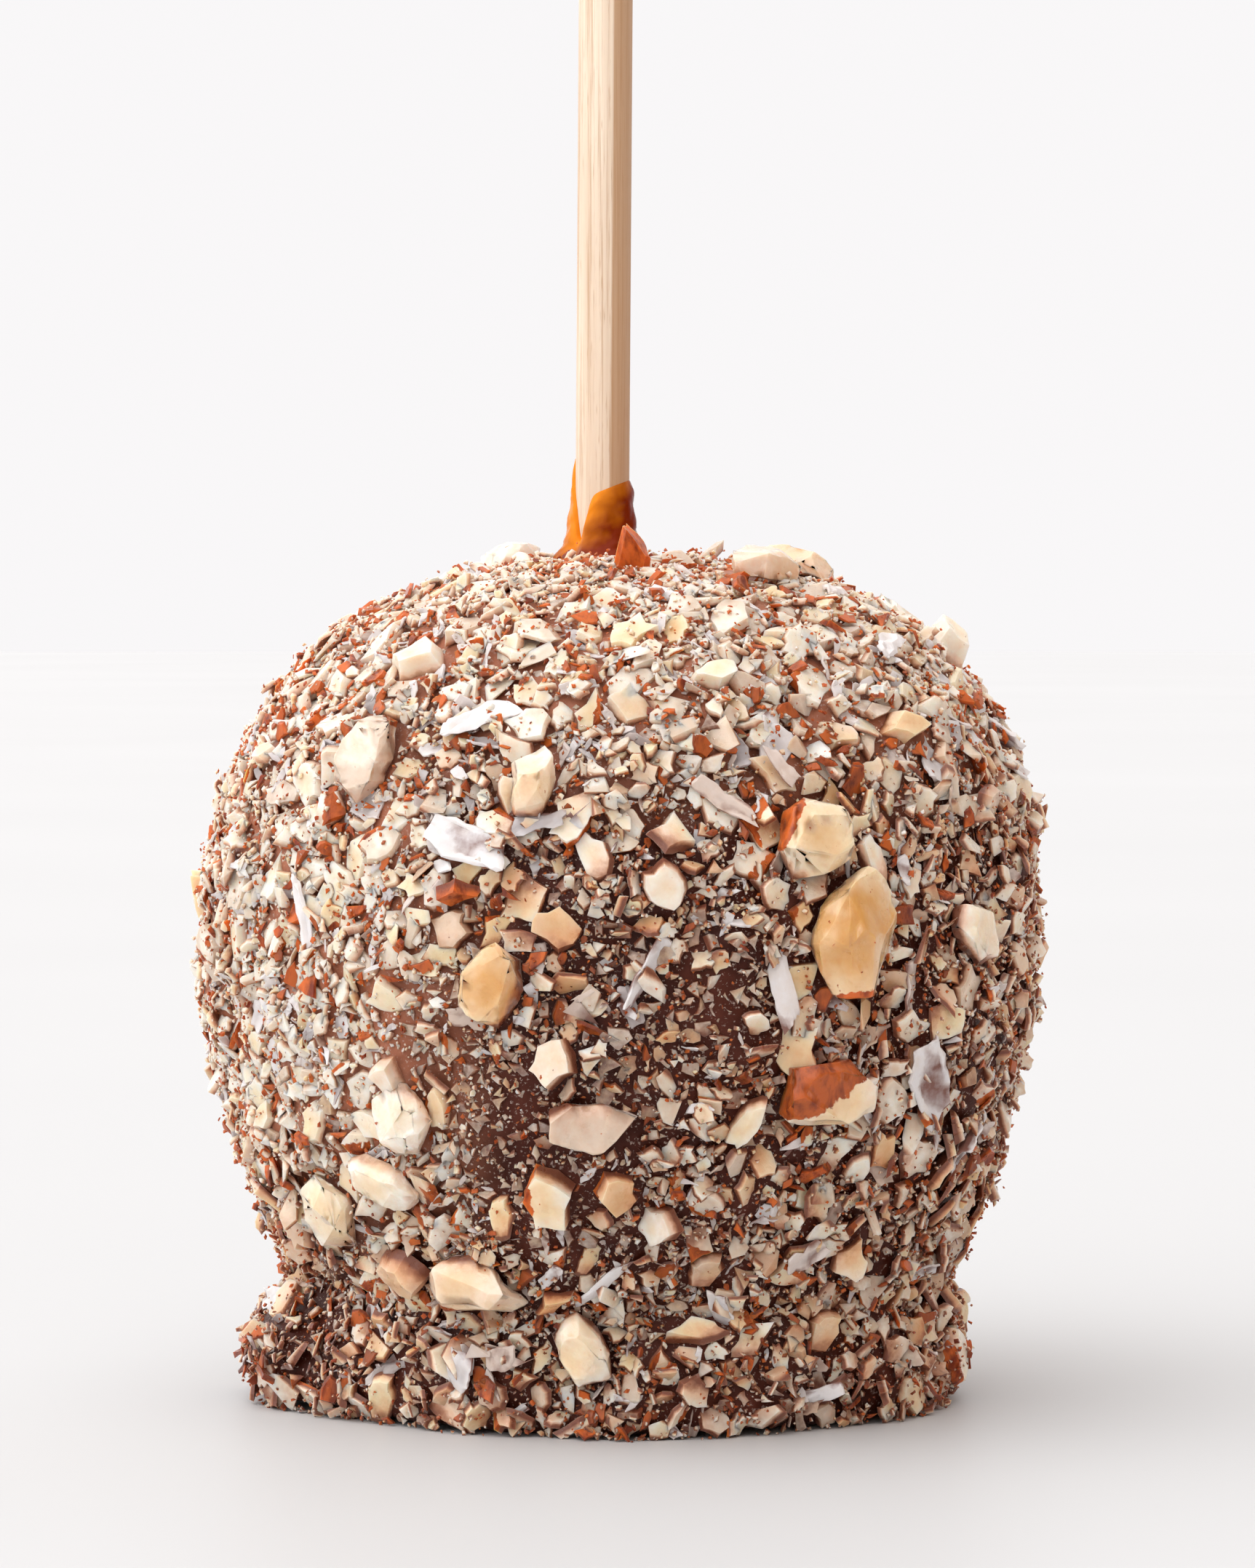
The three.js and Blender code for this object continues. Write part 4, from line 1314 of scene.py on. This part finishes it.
class CARAMELAPPLE_OT_toppings(bpy.types.Operator):
    """Roll the apple in chopped almonds, coconut, scraps of skin and nut meal"""

    bl_idname = "caramel_apple.toppings"
    bl_label = "Toppings"

    def execute(self, context):
        sizes = settings().toppings
        rng = np.random.default_rng(sizes.seed)
        surface = AppleSurface(settings().coat)
        crust = Crust(surface, sizes.cell)
        self.reserve(surface, crust)
        kinds = topping_kinds(rng)
        lay_by_hand(FRONT_SLABS, kinds["almond_slabs"], surface, crust)
        strew(rng, kinds, surface, crust, sizes.fullness, late=False)
        lay_by_hand(FRONT_SKINS, kinds["skin_flakes"], surface, crust)
        lay_by_hand(FRONT_FLAKES, kinds["coconut_flakes"], surface, crust)
        strew(rng, kinds, surface, crust, sizes.fullness, late=True)
        for name in ("nut_meal", "skin_specks"):
            dust(rng, kinds[name], surface, crust, sizes.fullness)
        for kind in kinds.values():
            piece = joined_toppings(rng, kind, surface)
            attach(piece, "root")
            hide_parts("coated_apple")
        return {"FINISHED"}

    def reserve(self, surface, crust):
        """Marks the ground that the chunks and the caramel collar stand on."""
        for node in CHUNK_NODES:
            crust.block(places(frame["nodes"][node].data.vertices))
        collar = places(frame["nodes"]["caramel_collar"].data.vertices)
        crust.block(collar[collar[:, 2] < surface.sizes.top_height + 1 * MM])


class CARAMELAPPLE_OT_stick(bpy.types.Operator):
    """Build the wooden stick"""

    bl_idname = "caramel_apple.stick"
    bl_label = "Stick"

    ROUNDED = 0.4 * MM  # radius of the rounded rims
    # Painted shade down the stick's right side, away from the light.
    SIDE_SHADE = 0.8  # how dark the strip along the right side is
    STRIP = 0.28  # where the strip begins, as a share of the radius

    def execute(self, context):
        sizes = settings().stick
        length = STICK_HIGH.z - STICK_LOW.z - 0.06 * MM
        bm = bmesh.new()
        bmesh.ops.create_cone(
            bm, cap_ends=True, segments=72, radius1=sizes.radius, radius2=sizes.radius, depth=length
        )
        rims = [edge for edge in bm.edges if abs(edge.verts[0].co.z - edge.verts[1].co.z) < 0.1 * MM]
        break_edges(bm, rims, self.ROUNDED, 3)
        foot, head = stick_ends()
        axis = (head - foot).normalized()
        turned = axis.to_track_quat("Z", "Y").to_matrix().to_4x4()
        bmesh.ops.transform(bm, matrix=Matrix.Translation((foot + head) / 2) @ turned, verts=bm.verts[:])
        piece = object_from_bmesh(bm, "wooden_stick", "birch_wood")
        # A darker strip down the right side, as painted shade.
        aside = np.array([vert.co.x - stick_middle(vert.co.z).x for vert in piece.data.vertices])
        dark = self.SIDE_SHADE * np.clip((aside / sizes.radius - self.STRIP) / 0.06, 0, 1)
        add_attribute(piece.data, "shaded_side", dark)
        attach(piece, "root")
        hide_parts("stick")
        return {"FINISHED"}


def stick_ends():
    """Middles of the stick's lower and upper ends, from the solid's box."""
    radius = settings().stick.radius
    foot = Vector((STICK_LOW.x + radius, 0, STICK_LOW.z))
    head = Vector((STICK_HIGH.x - radius, 0, STICK_HIGH.z))
    return foot, head


def stick_middle(height):
    foot, head = stick_ends()
    return foot.lerp(head, (height - foot.z) / (head.z - foot.z))


def collar_top(azimuth):
    """How high the caramel climbed: a tongue on the left, a bare notch beside it, a rise to the right."""
    tongue = 5 * math.exp(-(((azimuth + 1.75) / 0.3) ** 2))
    notch = 4.6 * math.exp(-(((azimuth + 0.82) / 0.28) ** 2))
    return MM * (7.3 + 1.2 * math.sin(azimuth) + tongue - notch)


class CARAMELAPPLE_OT_collar(bpy.types.Operator):
    """Build the caramel that climbed the stick"""

    bl_idname = "caramel_apple.collar"
    bl_label = "Caramel Collar"

    OUTSIDE = 0.75  # share of the grid's rows on the outside; the others are against the stick
    OVERLAP = 0.1 * MM  # how far the inside reaches into the stick
    ROOT = 0.6 * MM  # how far the foot reaches into the chocolate
    THIN, SWELL, SKIRT = 0.35 * MM, 0.6 * MM, 1.3 * MM  # thickness at the top, and what is added below

    def execute(self, context):
        sizes = settings().stick
        bm = bmesh.new()
        bmesh.ops.create_grid(bm, x_segments=120, y_segments=40, size=0.5)
        base = settings().coat.top_height - self.ROOT
        thickness_and_shade = {}
        for vert in bm.verts:
            azimuth, share = TURN * vert.co.x, vert.co.y + 0.5
            top = collar_top(azimuth) + 0.5 * MM
            outside = share < self.OUTSIDE
            climb = share / self.OUTSIDE if outside else (1 - share) / (1 - self.OUTSIDE)
            film = self.THIN + self.SWELL * (1 - climb) + self.SKIRT * (1 - climb) ** 5
            spot = Vector((math.sin(azimuth), math.cos(azimuth), climb * top / (3 * MM)))
            lump = noise.fractal(spot * 1.6, 1, 2, 3)
            film = film * (1 + 0.35 * lump) * min(1, (1 - climb) * 6 + 0.12)
            radius = sizes.radius + (film if outside else -self.OVERLAP)
            middle = stick_middle(base + climb * top)
            vert.co = middle + Vector((radius * math.sin(azimuth), -radius * math.cos(azimuth), 0))
            # Darker lower down, where the caramel is thicker, and on the right side as painted shade.
            thickness_and_shade[tuple(vert.co)] = 1.2 - 1.0 * climb + 0.6 * math.sin(azimuth) + 0.3 * lump
        close_rolled_grid(bm)
        thick_and_shaded = [thickness_and_shade.get(tuple(vert.co), 0.5) for vert in bm.verts]
        piece = object_from_bmesh(bm, "caramel_collar_glossy", "glossy_caramel")
        add_attribute(piece.data, "thickness_and_shade", np.clip(thick_and_shaded, 0, 1))
        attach(piece, "root")
        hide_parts("caramel_collar")
        return {"FINISHED"}


FLOOR_RADIUS = 6
BACKDROP = (0.945, 0.93, 0.937)  # what the camera sees behind the apple
ROOM_LIGHT = (0.34, 0.182, 0.09)
# The room's white surfaces: where each lies, from which share of facing to which it grows, and its light.
WHITE_SURFACES = (
    ((0, 1, 0), 0.1, 0.6, (0.93, 0.92, 0.925)),
    ((-0.72, -0.15, 0.68), -0.25, 0.66, (1.57, 1.54, 1.53)),
)
# Soft lights from far away: where each comes from, how many degrees wide it looks, its strength and colour.
SUNS = {
    "side_box": ((-0.9, -0.3, 0.95), 60, 0.45, (1, 0.98, 0.975)),
    "top_box": ((-0.15, -0.2, 1), 60, 0.4, (1, 0.985, 0.985)),
}
CAMERA_ASIDE = 0.7 * MM


class CARAMELAPPLE_OT_stage(bpy.types.Operator):
    """Set up the floor, the lights and the camera"""

    bl_idname = "caramel_apple.stage"
    bl_label = "Stage"

    def execute(self, context):
        sizes = settings().stage
        bm = bmesh.new()
        bmesh.ops.create_circle(bm, cap_ends=True, segments=96, radius=FLOOR_RADIUS)
        floor = object_from_bmesh(bm, "floor", "pale_floor")
        for name, look in SUNS.items():
            self.add_sun(name, *look)
        self.add_world()
        self.add_camera(sizes)
        context.scene.view_settings.view_transform = "Standard"
        context.scene.view_settings.look = "None"
        return {"FINISHED"}

    def add_sun(self, name, source, spread, strength, colour):
        light = bpy.data.lights.new(name, "SUN")
        light.angle = math.radians(spread)
        light.energy = strength
        light.color = colour
        lamp = put_in_scene(name, light)
        lamp.rotation_euler = (-Vector(source)).to_track_quat("-Z", "Y").to_euler()

    def add_world(self):
        """A white backdrop, a large white box above to the left, and a dimmer room in front."""
        world = bpy.data.worlds.new("studio")
        bpy.context.scene.world = world
        world.use_nodes = True
        tree = world.node_tree
        direction = add_node(tree, "ShaderNodeTexCoord").outputs["Generated"]
        colour = ROOM_LIGHT
        for toward, start, end, light in WHITE_SURFACES:
            inputs = {0: direction, 1: toward}
            facing = add_node(tree, "ShaderNodeVectorMath", inputs, operation="DOT_PRODUCT").outputs["Value"]
            limits = {"Value": facing, "From Min": start, "From Max": end}
            share = add_node(tree, "ShaderNodeMapRange", limits).outputs["Result"]
            colour = mix(tree, share, colour, light)
        seen = add_node(tree, "ShaderNodeLightPath").outputs["Is Camera Ray"]
        colour = mix(tree, seen, colour, BACKDROP)
        tree.links.new(colour, tree.nodes["Background"].inputs["Color"])

    def add_camera(self, sizes):
        camera = bpy.data.cameras.new("camera")
        camera.sensor_fit = "VERTICAL"
        camera.sensor_height = 36
        camera.lens = sizes.lens
        camera.clip_start = 0.01
        view = put_in_scene("camera", camera)
        view.location = (CAMERA_ASIDE, -sizes.distance, sizes.camera_height)
        view.rotation_euler = (math.pi / 2 - sizes.camera_pitch, 0, 0)
        bpy.context.scene.camera = view


class CARAMELAPPLE_PT_sidebar(bpy.types.Panel):
    """Sizes and colours of the apple, and its pieces"""

    bl_label = "Caramel Apple"
    bl_idname = "CARAMELAPPLE_PT_sidebar"
    bl_space_type = "VIEW_3D"
    bl_region_type = "UI"
    bl_category = "Caramel Apple"

    def draw(self, context):
        for group, operators in (
            ("coat", (CARAMELAPPLE_OT_coat,)),
            ("toppings", (CARAMELAPPLE_OT_chunks, CARAMELAPPLE_OT_toppings)),
            ("stick", (CARAMELAPPLE_OT_stick, CARAMELAPPLE_OT_collar)),
            ("stage", (CARAMELAPPLE_OT_stage,)),
        ):
            box = self.layout.box()
            values = getattr(context.scene.caramel_apple, group)
            for name in values.__annotations__:
                box.prop(values, name)
            for operator in operators:
                box.operator(operator.bl_idname)


PIECE_OPERATORS = (
    CARAMELAPPLE_OT_coat,
    CARAMELAPPLE_OT_chunks,
    CARAMELAPPLE_OT_toppings,
    CARAMELAPPLE_OT_stick,
    CARAMELAPPLE_OT_collar,
    CARAMELAPPLE_OT_stage,
)
CLASSES = (
    CoatSettings,
    ToppingSettings,
    StickSettings,
    StageSettings,
    AppleSettings,
    *PIECE_OPERATORS,
    CARAMELAPPLE_PT_sidebar,
)


def register():
    for cls in CLASSES:
        bpy.utils.register_class(cls)
    bpy.types.Scene.caramel_apple = PointerProperty(type=AppleSettings)


def unregister():
    del bpy.types.Scene.caramel_apple
    for cls in reversed(CLASSES):
        bpy.utils.unregister_class(cls)


def make_materials():
    chosen = settings()
    topping_tone_group()
    chocolate_veil_group()
    almond_skin_group()
    fine_relief_group()
    chocolate_material(chosen.coat)
    almond_material(chosen.coat, chosen.toppings)
    coconut_material(chosen.coat, chosen.toppings)
    skin_material(chosen.coat, chosen.toppings)
    wood_material(chosen.stick)
    caramel_material(chosen.stick)
    floor_material(chosen.stage)


def main():
    register()
    make_materials()
    bpy.ops.caramel_apple.coat()
    bpy.ops.caramel_apple.chunks()
    bpy.ops.caramel_apple.toppings()
    bpy.ops.caramel_apple.stick()
    bpy.ops.caramel_apple.collar()
    bpy.ops.caramel_apple.stage()


if __name__ == "__main__":
    main()
